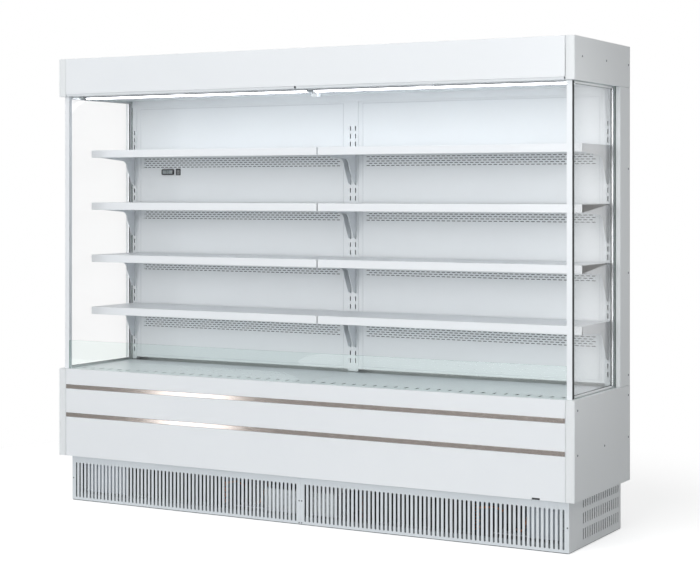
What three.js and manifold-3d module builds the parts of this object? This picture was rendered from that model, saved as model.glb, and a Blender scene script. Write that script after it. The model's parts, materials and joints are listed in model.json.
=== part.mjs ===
// Open multideck display fridge, eight feet long: a louvred base with the
// condensing units, an insulated tub with a riser glass, glazed ends, two bays
// of hook-on shelves, and a canopy with lamps, an air outlet and night curtains.
//
// Millimetres. +X is the right-hand end seen from the front, +Y the rear and
// +Z up. The origin is on the floor, in the middle of the overall plan.
import * as THREE from 'three';
import { mergeVertices } from 'three/addons/utils/BufferGeometryUtils.js';
import Module from 'manifold-3d';

const wasm = await Module();
wasm.setup();

// ---------------------------------------------------------------- dimensions
// Whole case
const CASE_WIDTH = 2438;
const CASE_DEPTH = 608;
const CASE_HEIGHT = 1956;
const CLEARANCE = 0.3; // between pieces that touch
const OVERLAP = 1; // of joined solids into each other, and of cutters past a face
const SHEET = 1.5; // folded steel sheet
const END_WALL = 39; // thickness of the end panels
const EDGE_RADIUS = 5; // on the end panels' front corners
const EDGE_STEPS = 3;

// Base
const BASE_HEIGHT = 202;
const BASE_SETBACK_FRONT = 45;
const BASE_SETBACK_END = 40;
const FLOOR_MARGIN = 3; // under the base sheets
const RAIL_WIDTH = 40;
const SKID_HEIGHT = 33;
const TOP_RAIL_HEIGHT = 30;
const MACHINE_TRAY = 3;
const GRILLE_SLOT = { width: 8, pitch: 19.2, belowTop: 34.7, aboveEdge: 10.5, margin: 18 };
const VENT = { width: 8, pitch: 24, belowTop: 5.2, aboveEdge: 26, bar: 17, rows: 3 };
const VENT_FROM_FRONT = 189;
const VENT_MARGIN = 6;

// Lower cabinet
const DECK_HEIGHT = 586; // top of the lower cabinet
const TUB_FRONT_WALL = 54;
const TUB_FLOOR = 45;
const BACK_WALL = 50;
const TRIM_THICKNESS = 1.7;
const TRIM_HEIGHT = 18.5;
const TRIM_CHAMFER = 0.6;
const TRIM_END_GAP = 1;
const TRIM_UPPER_DROP = 87; // from the deck to the bar's lower edge
const TRIM_LOWER_DROP = 211.5;
const DRAIN_NOTCH = { fromEnd: 136, width: 33, height: 8 };
const RISER_FROM_FRONT = 22;
const RISER_THICKNESS = 6;
const RISER_HEIGHT = 125; // above the deck
const RISER_SEAT = 15; // hidden in the tub's groove

// Decks
const DECK_LIP = 20;
const DECK_END_GAP = 1.5;
const INTAKE = { width: 12, length: 40, pitch: 48, margin: 20, behindWall: 6 };

// Glazed ends and rear columns
const COLUMN_DEPTH = 114;
const GLASS_UNIT = 19;
const GLASS_SETBACK = 21; // front of the glass trim
const GLASS_TRIM_DEPTH = 20;

// Canopy
const CANOPY_HEIGHT = 166;
const ROOF_THICKNESS = 50;
const CANOPY_RETURN = 14;
const CEILING_RISE = 2; // ceiling above the canopy's lower edge
const CEILING_FRONT = 122; // from the front plane
const CEILING_LIP = 20;
const CEILING_REAR_LIP = 31;
const LAMP = { width: 35, height: 8.7, fromCentre: 8, fromEnd: 5, gap: 3, steps: 8 };
const LAMP_SIDE = 3; // straight side of the lamp above its round lens
const LAMP_BRACKET = { width: 27, depth: 29, drop: 27, gap: 1 };
const OUTLET = { front: 40, depth: 16, rise: 6, cellWidth: 52, cellPitch: 58, rim: 5, endGap: 2 };
const BAFFLE = { height: 22, slopeRun: 26, slopeRise: 14 };

// Night curtains
const ROLLER_RADIUS = 20; // with the cloth wound on
const ROLLER_FROM_FRONT = 42;
const ROLLER_ABOVE_CANOPY = 60; // above the canopy's lower edge
const ROLLER_STUB_RADIUS = 5;
const ROLLER_STUB = 7; // length of the stub axles
const ROLLER_SIDE_PLAY = 2;
const HANGER = { fromBayEdge: 8, thickness: 3, width: 22, below: 12, slotPlay: 1 };
const CLOTH_THICKNESS = 1;
const CLOTH_MARGIN = 4;
const PULL_BAR = { height: 10.7, depth: 35, endGap: 4, wall: 3 };
const GRIP = { width: 65, depth: 10, drop: 8, fromFront: 10, chamfer: 2 };

// Shelving
const STANDARD_FACE = 492; // from the front plane
const STANDARD_WIDTH = 25;
const STANDARD_SHEET = 2;
const STANDARD_FOOT = 4; // above the deck
const HOOK_SLOT = { width: 5, height: 20, pitch: 33.6, aboveDeck: 49.6, fromBayEdge: 13 };
const SHELF_ABOVE_SLOT = 12.8; // shelf top above the centre of its upper slot
const SHELF_SLOTS = [6, 13, 20, 27]; // upper hook slot of each shelf
const SHELF_FRONT = 181; // from the front plane
const SHELF_RAIL = 33;
const SHELF_RETURN = 14;
const SHELF_REAR_LIP = 20;
const SHELF_END_GAP = 2;
const SHELF_REAR_GAP = 2;
const BRACKET = { thickness: 3, nose: 16, noseDepth: 30, armDepth: 44 };
const BRACKET_CORNER = { run: 36, drop: 32, steps: 6 }; // between the arm and the leg
const BRACKET_LEG = { waist: 60, foot: 20, drop: 152 }; // depths at its top and its end
const HOOK = { height: 14, reach: 5, apart: 3 }; // apart is counted in slots
const SLOTS_TO_TOP = 90; // bare standard above the last slot
const PANEL_SETBACK = 2; // back panels behind the standards' face
const PANEL_RETURN = 12;
const PANEL_BOTTOM = 14; // above the deck

// Evaporator in the tub
const EVAPORATOR = { width: 2000, depth: 140, height: 218, finPitch: 60, fin: 26, rim: 8 };
const EVAPORATOR_TO_WALL = 60;
const FAN_CHAMBER = 80; // from the fan plate to the coil
const EVAPORATOR_FAN = { radius: 95, hub: 32, depth: 28, tipGap: 6, blades: 5, offset: 500 };
const EVAPORATOR_MOTOR = { radius: 28, length: 34, gap: 3, strap: 12, strapGap: 8 };

// Condensing units
const CONDENSER = { width: 520, depth: 40, height: 124, feet: 8, finPitch: 25, fin: 11, rim: 6 };
const CONDENSER_FROM_FRONT = 52;
const CONDENSER_FROM_END = { left: 285, right: 385 };
const SHROUD_DEPTH = 22; // behind the coil
const DUCT_WALL = 2;
const CONDENSER_FAN = { radius: 52, hub: 20, depth: 22, tipGap: 4, blades: 5 };
const CONDENSER_MOTOR = { radius: 24, length: 40, gap: 3, strap: 10, strapGap: 6 };
const COMPRESSOR = { radius: 70, height: 118, foot: 150, footSheet: 4, base: 20, dome: 34 };
const COMPRESSOR_FROM_FRONT = 190;
const COMPRESSOR_TO_COIL = { left: 11, right: 41 };
const CONTROL_BOX = { fromEnd: 51, width: 222, fromFront: 92, depth: 150, height: 125, chamfer: 6 };
const CONDENSATE_PAN = { toCompressor: 10, toCoil: 127, fromFront: 92, depth: 220, height: 95, wall: 2 };
const BLADE = { thickness: 2, pitch: 30, tipHalfAngle: 26, rootShare: 0.6, tipSteps: 4 };

// Thermometer on the left back panel
const THERMOMETER = { fromEnd: 204, below: 332, width: 65, height: 27, depth: 9, radius: 6, rim: 4 };
const THERMOMETER_RECESS = 1.5;
const CIRCLE_STEPS = 24;

// ---------------------------------------------------------- derived stations
const halfWidth = CASE_WIDTH / 2;
const innerHalf = halfWidth - END_WALL;
const fitHalf = innerHalf - CLEARANCE; // what stands between the end walls
const front = -CASE_DEPTH / 2;
const back = CASE_DEPTH / 2;
const canopyBottom = CASE_HEIGHT - CANOPY_HEIGHT;
const baseHalf = halfWidth - BASE_SETBACK_END;
const baseFront = front + BASE_SETBACK_FRONT;
const baseTop = BASE_HEIGHT - CLEARANCE;
const skinFront = front + TRIM_THICKNESS + CLEARANCE;
const tubFront = skinFront + SHEET + CLEARANCE;
const tubInner = tubFront + TUB_FRONT_WALL;
const tubTop = DECK_HEIGHT - SHEET - CLEARANCE;
const tubFloorTop = BASE_HEIGHT + TUB_FLOOR;
const backWallFront = back - BACK_WALL;
const riserFront = front + RISER_FROM_FRONT;
const riserBack = riserFront + RISER_THICKNESS;
const riserTop = DECK_HEIGHT + RISER_HEIGHT;
const columnFront = back - COLUMN_DEPTH;
const standardFace = front + STANDARD_FACE;
const bayWidth = innerHalf;
const bayCentre = bayWidth / 2;
const roofBottom = CASE_HEIGHT - ROOF_THICKNESS;
const ceilingBottom = canopyBottom + CEILING_RISE;
const ceilingFront = front + CEILING_FRONT;
const rollerY = front + ROLLER_FROM_FRONT;
const rollerZ = canopyBottom + ROLLER_ABOVE_CANOPY;
const barTop = canopyBottom + PULL_BAR.height;
const panelFace = standardFace + PANEL_SETBACK;
const trayTop = SKID_HEIGHT;

// ------------------------------------------------------------ shape helpers
function boxBetween(x0, x1, y0, y1, z0, z1) {
  const box = new THREE.BoxGeometry(x1 - x0, y1 - y0, z1 - z0);
  return box.translate((x0 + x1) / 2, (y0 + y1) / 2, (z0 + z1) / 2);
}

function rectangle(a0, a1, b0, b1) {
  return [[a0, b0], [a1, b0], [a1, b1], [a0, b1]];
}

// Points of a circle's arc, angles in degrees.
function arc(centreA, centreB, radius, fromAngle, toAngle, steps) {
  return Array.from({ length: steps + 1 }, (_, i) => {
    const angle = THREE.MathUtils.degToRad(fromAngle + ((toAngle - fromAngle) * i) / steps);
    return [centreA + radius * Math.cos(angle), centreB + radius * Math.sin(angle)];
  });
}

function circle(centreA, centreB, radius) {
  return arc(centreA, centreB, radius, 0, 360, CIRCLE_STEPS).slice(0, -1);
}

function roundedRectangle(a0, a1, b0, b1, radius, steps) {
  return [
    ...arc(a0 + radius, b0 + radius, radius, 180, 270, steps),
    ...arc(a1 - radius, b0 + radius, radius, 270, 360, steps),
    ...arc(a1 - radius, b1 - radius, radius, 0, 90, steps),
    ...arc(a0 + radius, b1 - radius, radius, 90, 180, steps),
  ];
}

// The outline of a folded sheet: its bend line, and that line set off to the
// left by the sheet's thickness, with mitred corners.
function foldedOutline(points, thickness) {
  const line = points.map(([a, b]) => new THREE.Vector2(a, b));
  const normals = line.slice(1).map((point, i) => {
    const run = point.clone().sub(line[i]).normalize();
    return new THREE.Vector2(-run.y, run.x);
  });
  const offset = line.map((point, i) => {
    const before = normals[Math.max(i - 1, 0)];
    const after = normals[Math.min(i, normals.length - 1)];
    const mitre = before.clone().add(after);
    return point.clone().addScaledVector(mitre, (2 * thickness) / mitre.lengthSq());
  });
  return [...line, ...offset.reverse()].map((point) => [point.x, point.y]);
}

// An outline carried along an axis. Along x its points are (y, z), along y
// they are (x, z) and along z they are (x, y).
const X = new THREE.Vector3(1, 0, 0);
const Y = new THREE.Vector3(0, 1, 0);
const Z = new THREE.Vector3(0, 0, 1);
const PRISM_FRAMES = {
  x: (from) => new THREE.Matrix4().makeBasis(Y, Z, X).setPosition(from, 0, 0),
  y: (from, to) => new THREE.Matrix4().makeBasis(X, Z, Y.clone().negate()).setPosition(0, to, 0),
  z: (from) => new THREE.Matrix4().makeBasis(X, Y, Z).setPosition(0, 0, from),
};

function prism(axis, from, to, outline, holes = []) {
  const shape = new THREE.Shape(outline.map(([a, b]) => new THREE.Vector2(a, b)));
  const solid = new THREE.ExtrudeGeometry(shape, { depth: to - from, bevelEnabled: false });
  solid.applyMatrix4(PRISM_FRAMES[axis](from, to));
  const punches = holes.map((hole) => prism(axis, from - OVERLAP, to + OVERLAP, hole));
  return punches.length ? cut(solid, ...punches) : solid;
}

// A profile of (radius, height) points turned about Z.
function turned(profile, steps = CIRCLE_STEPS) {
  const lathe = new THREE.LatheGeometry(profile.map(([r, h]) => new THREE.Vector2(r, h)), steps);
  return lathe.rotateX(Math.PI / 2);
}

function cylinderAlongY(x, z, radius, y0, y1) {
  return prism('y', y0, y1, circle(x, z, radius));
}

// Boolean joins and cuts.
function asSolid(geometry) {
  const bare = geometry.clone();
  bare.deleteAttribute('normal');
  bare.deleteAttribute('uv');
  const merged = mergeVertices(bare, 1e-4);
  const vertProperties = new Float32Array(merged.attributes.position.array);
  const triVerts = new Uint32Array(merged.index.array);
  return new wasm.Manifold(new wasm.Mesh({ numProp: 3, vertProperties, triVerts }));
}

function asGeometry(solid) {
  const mesh = solid.getMesh();
  const geometry = new THREE.BufferGeometry();
  geometry.setAttribute('position', new THREE.BufferAttribute(mesh.vertProperties, 3));
  geometry.setIndex(new THREE.BufferAttribute(mesh.triVerts, 1));
  geometry.computeVertexNormals();
  return geometry;
}

function joined(...geometries) {
  return asGeometry(geometries.map(asSolid).reduce((whole, next) => whole.add(next)));
}

function cut(geometry, ...tools) {
  return asGeometry(tools.map(asSolid).reduce((whole, next) => whole.subtract(next), asSolid(geometry)));
}

// How many copies of a given width fit in a span at a pitch.
function copiesIn(span, width, pitch) {
  return Math.floor((span - width) / pitch) + 1;
}

// Slots of one width, centred about zero and spread along a span.
function slotStarts(span, width, pitch) {
  const count = copiesIn(span, width, pitch);
  const first = -((count - 1) * pitch + width) / 2;
  return Array.from({ length: count }, (_, i) => first + i * pitch);
}

// ---------------------------------------------------------------- materials
function finish(color, roughness, metalness = 0, extra = {}) {
  return new THREE.MeshStandardMaterial({ color, roughness, metalness, ...extra });
}

const whiteEnamel = () => finish(0xeef1f4, 0.35);
const greyEnamel = () => finish(0xc8ced1, 0.4);
const liner = () => finish(0xdfe4e8, 0.4);
const stainless = () => finish(0x9d938d, 0.3, 0.9);
const galvanised = () => finish(0xb9bfc3, 0.5, 0.7);
const clearGlass = () => finish(0xd8ece6, 0.05, 0, { transparent: true, opacity: 0.3 });
const blackMetal = () => finish(0x1d1f21, 0.5, 0.3);
const aluminiumFins = () => finish(0xa9afb3, 0.4, 0.8);

// --------------------------------------------------------------------- base
function baseFrame() {
  const x = baseHalf - SHEET - CLEARANCE;
  const y = baseFront + SHEET + CLEARANCE;
  const halfRail = RAIL_WIDTH / 2;
  const bays = [
    rectangle(-x + RAIL_WIDTH, -halfRail, y + RAIL_WIDTH, back - RAIL_WIDTH),
    rectangle(halfRail, x - RAIL_WIDTH, y + RAIL_WIDTH, back - RAIL_WIDTH),
  ];
  const ring = (z0, z1) => prism('z', z0, z1, rectangle(-x, x, y, back), bays);
  const tray = boxBetween(-x + OVERLAP, x - OVERLAP, y + OVERLAP, back - OVERLAP,
    trayTop - MACHINE_TRAY, trayTop);
  const posts = [-x, -halfRail, x - RAIL_WIDTH].flatMap((postX) =>
    [y, back - RAIL_WIDTH].map((postY) =>
      boxBetween(postX, postX + RAIL_WIDTH, postY, postY + RAIL_WIDTH, OVERLAP, baseTop - OVERLAP)));
  const rearSheet = boxBetween(
    -x + OVERLAP, x - OVERLAP, back - SHEET, back, OVERLAP, baseTop - OVERLAP);
  return joined(
    ring(0, SKID_HEIGHT), tray, rearSheet, ...posts, ring(baseTop - TOP_RAIL_HEIGHT, baseTop));
}

const grilleWidth = baseHalf - CLEARANCE / 2;

function baseGrille() {
  const { width, pitch, belowTop, aboveEdge, margin } = GRILLE_SLOT;
  const slots = slotStarts(grilleWidth - 2 * margin, width, pitch).map((x) =>
    rectangle(x, x + width, FLOOR_MARGIN + aboveEdge, baseTop - belowTop));
  const outline = rectangle(-grilleWidth / 2, grilleWidth / 2, FLOOR_MARGIN, baseTop);
  return prism('y', 0, SHEET, outline, slots);
}

function baseSidePanel() {
  const y0 = baseFront + SHEET + CLEARANCE;
  const firstVent = front + VENT_FROM_FRONT;
  const columns = copiesIn(back - VENT_MARGIN - firstVent, VENT.width, VENT.pitch);
  const lowest = FLOOR_MARGIN + VENT.aboveEdge;
  const bars = (VENT.rows - 1) * VENT.bar;
  const height = (baseTop - VENT.belowTop - lowest - bars) / VENT.rows;
  const vents = [];
  for (let row = 0; row < VENT.rows; row += 1) {
    const z = lowest + row * (height + VENT.bar);
    for (let column = 0; column < columns; column += 1) {
      const y = firstVent + column * VENT.pitch;
      vents.push(rectangle(y, y + VENT.width, z, z + height));
    }
  }
  return prism('x', -SHEET / 2, SHEET / 2, rectangle(y0, back, FLOOR_MARGIN, baseTop), vents);
}

// ------------------------------------------------------------ lower cabinet
function insulatedTub() {
  const outline = [
    [tubFront, BASE_HEIGHT],
    [backWallFront - CLEARANCE, BASE_HEIGHT],
    [backWallFront - CLEARANCE, tubFloorTop],
    [tubInner, tubFloorTop],
    [tubInner, tubTop],
    [riserBack + CLEARANCE, tubTop],
    [riserBack + CLEARANCE, tubTop - RISER_SEAT],
    [riserFront - CLEARANCE, tubTop - RISER_SEAT],
    [riserFront - CLEARANCE, tubTop],
    [tubFront, tubTop],
  ];
  return prism('x', -fitHalf, fitHalf, outline);
}

function frontPanel() {
  const outline = foldedOutline([
    [riserFront - 2 * CLEARANCE, DECK_HEIGHT],
    [skinFront, DECK_HEIGHT],
    [skinFront, BASE_HEIGHT],
  ], SHEET);
  const notchRight = innerHalf - DRAIN_NOTCH.fromEnd + DRAIN_NOTCH.width + CLEARANCE;
  const notch = boxBetween(
    notchRight - DRAIN_NOTCH.width, notchRight,
    skinFront - OVERLAP, skinFront + SHEET + OVERLAP,
    BASE_HEIGHT - OVERLAP, BASE_HEIGHT + DRAIN_NOTCH.height);
  return cut(prism('x', -fitHalf, fitHalf, outline), notch);
}

function trimBar() {
  const face = front;
  const rear = front + TRIM_THICKNESS;
  const outline = [
    [rear, 0],
    [rear, TRIM_HEIGHT],
    [face + TRIM_CHAMFER, TRIM_HEIGHT],
    [face, TRIM_HEIGHT - TRIM_CHAMFER],
    [face, TRIM_CHAMFER],
    [face + TRIM_CHAMFER, 0],
  ];
  return prism('x', -innerHalf + TRIM_END_GAP, innerHalf - TRIM_END_GAP, outline);
}

// An end panel's plan, with rounded front corners.
function endPanel(z0, z1) {
  const half = END_WALL / 2;
  const outline = [
    ...arc(-half + EDGE_RADIUS, front + EDGE_RADIUS, EDGE_RADIUS, 180, 270, EDGE_STEPS),
    ...arc(half - EDGE_RADIUS, front + EDGE_RADIUS, EDGE_RADIUS, 270, 360, EDGE_STEPS),
    [half, back],
    [-half, back],
  ];
  return prism('z', z0, z1, outline);
}

function backWall() {
  return boxBetween(-fitHalf, fitHalf, backWallFront, back, BASE_HEIGHT, roofBottom - CLEARANCE);
}

const deckBack = standardFace - SHELF_REAR_GAP;
const deckHalf = bayCentre - DECK_END_GAP;

function bottomDeck() {
  const outline = foldedOutline([
    [deckBack, DECK_HEIGHT - DECK_LIP],
    [deckBack, DECK_HEIGHT],
    [riserBack + 2 * CLEARANCE, DECK_HEIGHT],
  ], SHEET);
  const y = tubInner + INTAKE.behindWall;
  const intakes = slotStarts(2 * (deckHalf - INTAKE.margin), INTAKE.width, INTAKE.pitch).map((x) =>
    boxBetween(x, x + INTAKE.width, y, y + INTAKE.length, tubTop, DECK_HEIGHT + OVERLAP));
  return cut(prism('x', -deckHalf, deckHalf, outline), ...intakes);
}

// --------------------------------------------------------- ends and glazing
function rearColumn() {
  return boxBetween(
    -END_WALL / 2, END_WALL / 2, columnFront, back,
    DECK_HEIGHT + CLEARANCE, canopyBottom - CLEARANCE);
}

function sideGlass() {
  return boxBetween(
    -GLASS_UNIT / 2, GLASS_UNIT / 2,
    front + GLASS_SETBACK + SHEET + CLEARANCE, columnFront - CLEARANCE,
    DECK_HEIGHT + CLEARANCE, canopyBottom - CLEARANCE);
}

// A U-shaped edge trim that the front edge of the glass stands in.
function sideGlassTrim() {
  const half = GLASS_UNIT / 2 + CLEARANCE;
  const y0 = front + GLASS_SETBACK + SHEET;
  const y1 = front + GLASS_SETBACK + GLASS_TRIM_DEPTH;
  const outline = foldedOutline([[half, y1], [half, y0], [-half, y0], [-half, y1]], SHEET);
  return prism('z', DECK_HEIGHT + CLEARANCE, canopyBottom - CLEARANCE, outline);
}

function frontGlass() {
  const half = innerHalf - SHEET - 2 * CLEARANCE;
  const seat = tubTop - RISER_SEAT + CLEARANCE;
  return boxBetween(-half, half, riserFront, riserBack, seat, riserTop);
}

// ------------------------------------------------------------------- canopy
const hangerStations = [
  -bayWidth + HANGER.fromBayEdge,
  -HANGER.fromBayEdge,
  HANGER.fromBayEdge,
  bayWidth - HANGER.fromBayEdge,
];

// A plate that hangs from the roof, with an open slot for a stub axle.
function rollerHanger(x) {
  const half = HANGER.width / 2;
  const slot = ROLLER_STUB_RADIUS + HANGER.slotPlay;
  const outline = [
    [rollerY - half, rollerZ - HANGER.below],
    [rollerY + half, rollerZ - HANGER.below],
    [rollerY + half, roofBottom + OVERLAP],
    [rollerY - half, roofBottom + OVERLAP],
    [rollerY - half, rollerZ + slot],
    [rollerY + slot, rollerZ + slot],
    [rollerY + slot, rollerZ - slot],
    [rollerY - half, rollerZ - slot],
  ];
  return prism('x', x - HANGER.thickness / 2, x + HANGER.thickness / 2, outline);
}

function canopyRoof() {
  const slab = boxBetween(-fitHalf, fitHalf, front + SHEET + CLEARANCE, back, roofBottom, CASE_HEIGHT);
  return joined(slab, ...hangerStations.map(rollerHanger));
}

function canopyFrontPanel() {
  const bottom = barTop + CLEARANCE;
  const outline = foldedOutline([
    [front, CASE_HEIGHT],
    [front, bottom],
    [front + CANOPY_RETURN, bottom],
  ], SHEET);
  return prism('x', -fitHalf, fitHalf, outline);
}

const lampFront = ceilingFront + LAMP.gap;
const lampHalf = (innerHalf - LAMP.fromCentre - LAMP.fromEnd) / 2;

function ceilingLiner() {
  const rear = standardFace - CLEARANCE;
  const outline = foldedOutline([
    [rear, ceilingBottom - CEILING_REAR_LIP],
    [rear, ceilingBottom + SHEET],
    [ceilingFront + SHEET, ceilingBottom + SHEET],
    [ceilingFront + SHEET, ceilingBottom + CEILING_LIP],
  ], SHEET);
  const bracketFront = lampFront + LAMP.width + LAMP_BRACKET.gap;
  const lampBracket = boxBetween(
    -LAMP_BRACKET.width / 2, LAMP_BRACKET.width / 2,
    bracketFront, bracketFront + LAMP_BRACKET.depth,
    ceilingBottom - LAMP_BRACKET.drop, ceilingBottom + SHEET / 2);
  return joined(prism('x', -fitHalf, fitHalf, outline), lampBracket);
}

// The outlet's grid of cells with the baffle that parts it from the roller.
function airOutlet() {
  const half = fitHalf - OUTLET.endGap;
  const y0 = front + OUTLET.front;
  const y1 = ceilingFront - CLEARANCE;
  const z0 = canopyBottom + OUTLET.rise;
  const cells = slotStarts(2 * (half - OUTLET.rim), OUTLET.cellWidth, OUTLET.cellPitch).map((x) =>
    rectangle(x, x + OUTLET.cellWidth, y0 + OUTLET.rim, y1 - OUTLET.rim));
  const grid = prism('z', z0, z0 + OUTLET.depth, rectangle(-half, half, y0 - SHEET / 2, y1), cells);
  const baffle = foldedOutline([
    [y0, z0],
    [y0, z0 + BAFFLE.height],
    [y0 + BAFFLE.slopeRun, z0 + BAFFLE.height + BAFFLE.slopeRise],
    [y0 + BAFFLE.slopeRun, roofBottom - CLEARANCE],
  ], SHEET);
  return joined(grid, prism('x', -half, half, baffle));
}

// A lamp with a straight-sided top and a round lens.
function ledLamp() {
  const half = LAMP.width / 2;
  const lens = arc(0, 0, 1, 180, 360, LAMP.steps).map(([a, b]) =>
    [a * half, b * (LAMP.height - LAMP_SIDE) - LAMP_SIDE]);
  return prism('x', -lampHalf, lampHalf, [...lens, [half, 0], [-half, 0]]);
}

// ----------------------------------------------------------- night curtains
const rollerHalf = bayCentre - HANGER.fromBayEdge - HANGER.thickness / 2 - ROLLER_SIDE_PLAY;

function curtainRoller() {
  const end = rollerHalf + ROLLER_STUB;
  const roller = turned([
    [0, -end],
    [ROLLER_STUB_RADIUS, -end],
    [ROLLER_STUB_RADIUS, -rollerHalf],
    [ROLLER_RADIUS, -rollerHalf],
    [ROLLER_RADIUS, rollerHalf],
    [ROLLER_STUB_RADIUS, rollerHalf],
    [ROLLER_STUB_RADIUS, end],
    [0, end],
  ]);
  return roller.rotateY(Math.PI / 2);
}

// The short length of cloth between the roller and the pull bar.
function curtainCloth() {
  const half = rollerHalf - CLOTH_MARGIN;
  const y1 = rollerY - ROLLER_RADIUS - CLEARANCE;
  const z0 = canopyBottom + PULL_BAR.wall + CLEARANCE;
  return boxBetween(-half, half, y1 - CLOTH_THICKNESS, y1, z0, rollerZ);
}

function curtainPullBar() {
  const half = bayCentre - PULL_BAR.endGap;
  const channel = foldedOutline([
    [front, PULL_BAR.height],
    [front, 0],
    [front + PULL_BAR.depth, 0],
    [front + PULL_BAR.depth, PULL_BAR.height],
  ], PULL_BAR.wall);
  const y0 = front + GRIP.fromFront;
  const y1 = y0 + GRIP.depth;
  const grip = [
    [y0, PULL_BAR.wall / 2],
    [y0, -GRIP.drop + GRIP.chamfer],
    [y0 + GRIP.chamfer, -GRIP.drop],
    [y1 - GRIP.chamfer, -GRIP.drop],
    [y1, -GRIP.drop + GRIP.chamfer],
    [y1, PULL_BAR.wall / 2],
  ];
  return joined(
    prism('x', -half, half, channel),
    prism('x', -GRIP.width / 2, GRIP.width / 2, grip));
}

// ----------------------------------------------------------------- shelving
const standardBottom = DECK_HEIGHT + STANDARD_FOOT;
const standardTop = ceilingBottom - CLEARANCE;
const firstSlot = DECK_HEIGHT + HOOK_SLOT.aboveDeck;
const slotSpan = standardTop - CEILING_REAR_LIP - SLOTS_TO_TOP - firstSlot + HOOK_SLOT.height / 2;
const slotCount = copiesIn(slotSpan, HOOK_SLOT.height, HOOK_SLOT.pitch);

// A channel with slotted face and webs that run back to the rear wall.
function shelfStandard(x0, x1, slotColumns, webs) {
  const slots = slotColumns.flatMap((x) =>
    Array.from({ length: slotCount }, (_, i) => {
      const z = firstSlot + i * HOOK_SLOT.pitch;
      return rectangle(
        x - HOOK_SLOT.width / 2, x + HOOK_SLOT.width / 2,
        z - HOOK_SLOT.height / 2, z + HOOK_SLOT.height / 2);
    }));
  const outline = rectangle(x0, x1, standardBottom, standardTop);
  const face = prism('y', standardFace, standardFace + STANDARD_SHEET, outline, slots);
  const channel = webs.map((x) => boxBetween(
    x - STANDARD_SHEET / 2, x + STANDARD_SHEET / 2,
    standardFace + STANDARD_SHEET / 2, backWallFront - CLEARANCE,
    standardBottom, standardTop));
  return joined(face, ...channel);
}

const webInset = STANDARD_SHEET / 2;

function endStandard(side) {
  const outer = side * fitHalf;
  const inner = side * (bayWidth - STANDARD_WIDTH);
  const x0 = Math.min(outer, inner);
  const x1 = Math.max(outer, inner);
  const column = side * (bayWidth - HOOK_SLOT.fromBayEdge);
  return shelfStandard(x0, x1, [column], [x0 + webInset, x1 - webInset]);
}

function centreStandard() {
  const columns = [-HOOK_SLOT.fromBayEdge, HOOK_SLOT.fromBayEdge];
  const webs = [-STANDARD_WIDTH + webInset, 0, STANDARD_WIDTH - webInset];
  return shelfStandard(-STANDARD_WIDTH, STANDARD_WIDTH, columns, webs);
}

function backPanel() {
  const half = bayCentre - STANDARD_WIDTH - CLEARANCE;
  const outline = foldedOutline([
    [-half, panelFace + PANEL_RETURN],
    [-half, panelFace],
    [half, panelFace],
    [half, panelFace + PANEL_RETURN],
  ], SHEET);
  return prism('z', DECK_HEIGHT + PANEL_BOTTOM, standardTop, outline);
}

// A shelf bracket's side view, with the shelf's top at zero height.
function bracketOutline() {
  const rear = standardFace - CLEARANCE;
  const nose = front + SHELF_FRONT + BRACKET.nose;
  const { run, drop, steps } = BRACKET_CORNER;
  const corner = arc(0, 0, 1, 90, 0, steps).map(([a, b]) => [
    rear - BRACKET_LEG.waist - (1 - a) * run,
    -BRACKET.armDepth - (1 - b) * drop,
  ]);
  return [
    [rear, -SHEET / 2],
    [nose, -SHEET / 2],
    [nose, -BRACKET.noseDepth],
    ...corner,
    [rear - BRACKET_LEG.foot, -BRACKET_LEG.drop],
    [rear, -BRACKET_LEG.drop],
  ];
}

function shelf() {
  const half = bayCentre - SHELF_END_GAP;
  const frontFace = front + SHELF_FRONT;
  const rear = standardFace - SHELF_REAR_GAP;
  const tray = foldedOutline([
    [rear, -SHELF_REAR_LIP],
    [rear, 0],
    [frontFace, 0],
    [frontFace, -SHELF_RAIL],
    [frontFace + SHELF_RETURN, -SHELF_RAIL],
  ], SHEET);
  const brackets = [-1, 1].flatMap((side) => {
    const x = side * (bayCentre - HOOK_SLOT.fromBayEdge);
    const x0 = x - BRACKET.thickness / 2;
    const x1 = x + BRACKET.thickness / 2;
    const hooks = [0, HOOK.apart].map((slot) => {
      const z = -SHELF_ABOVE_SLOT - slot * HOOK_SLOT.pitch;
      return boxBetween(
        x0, x1, standardFace - HOOK.reach, standardFace + STANDARD_SHEET + HOOK.reach,
        z - HOOK.height / 2, z + HOOK.height / 2);
    });
    return [prism('x', x0, x1, bracketOutline()), ...hooks];
  });
  return joined(prism('x', -half, half, tray), ...brackets);
}

const shelfHeights = SHELF_SLOTS.map((slot) =>
  firstSlot + slot * HOOK_SLOT.pitch + SHELF_ABOVE_SLOT);

function thermometer() {
  const { fromEnd, below, width, height, depth, radius, rim } = THERMOMETER;
  const x = -innerHalf + fromEnd;
  const z = ceilingBottom - below;
  const rear = panelFace - CLEARANCE;
  const outline = (inset) => roundedRectangle(
    x - width / 2 + inset, x + width / 2 - inset,
    z - height / 2 + inset, z + height / 2 - inset, radius - inset, EDGE_STEPS);
  const body = prism('y', rear - depth, rear, outline(0));
  return cut(body, prism('y', rear - depth - OVERLAP, rear - depth + THERMOMETER_RECESS, outline(rim)));
}

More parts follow.
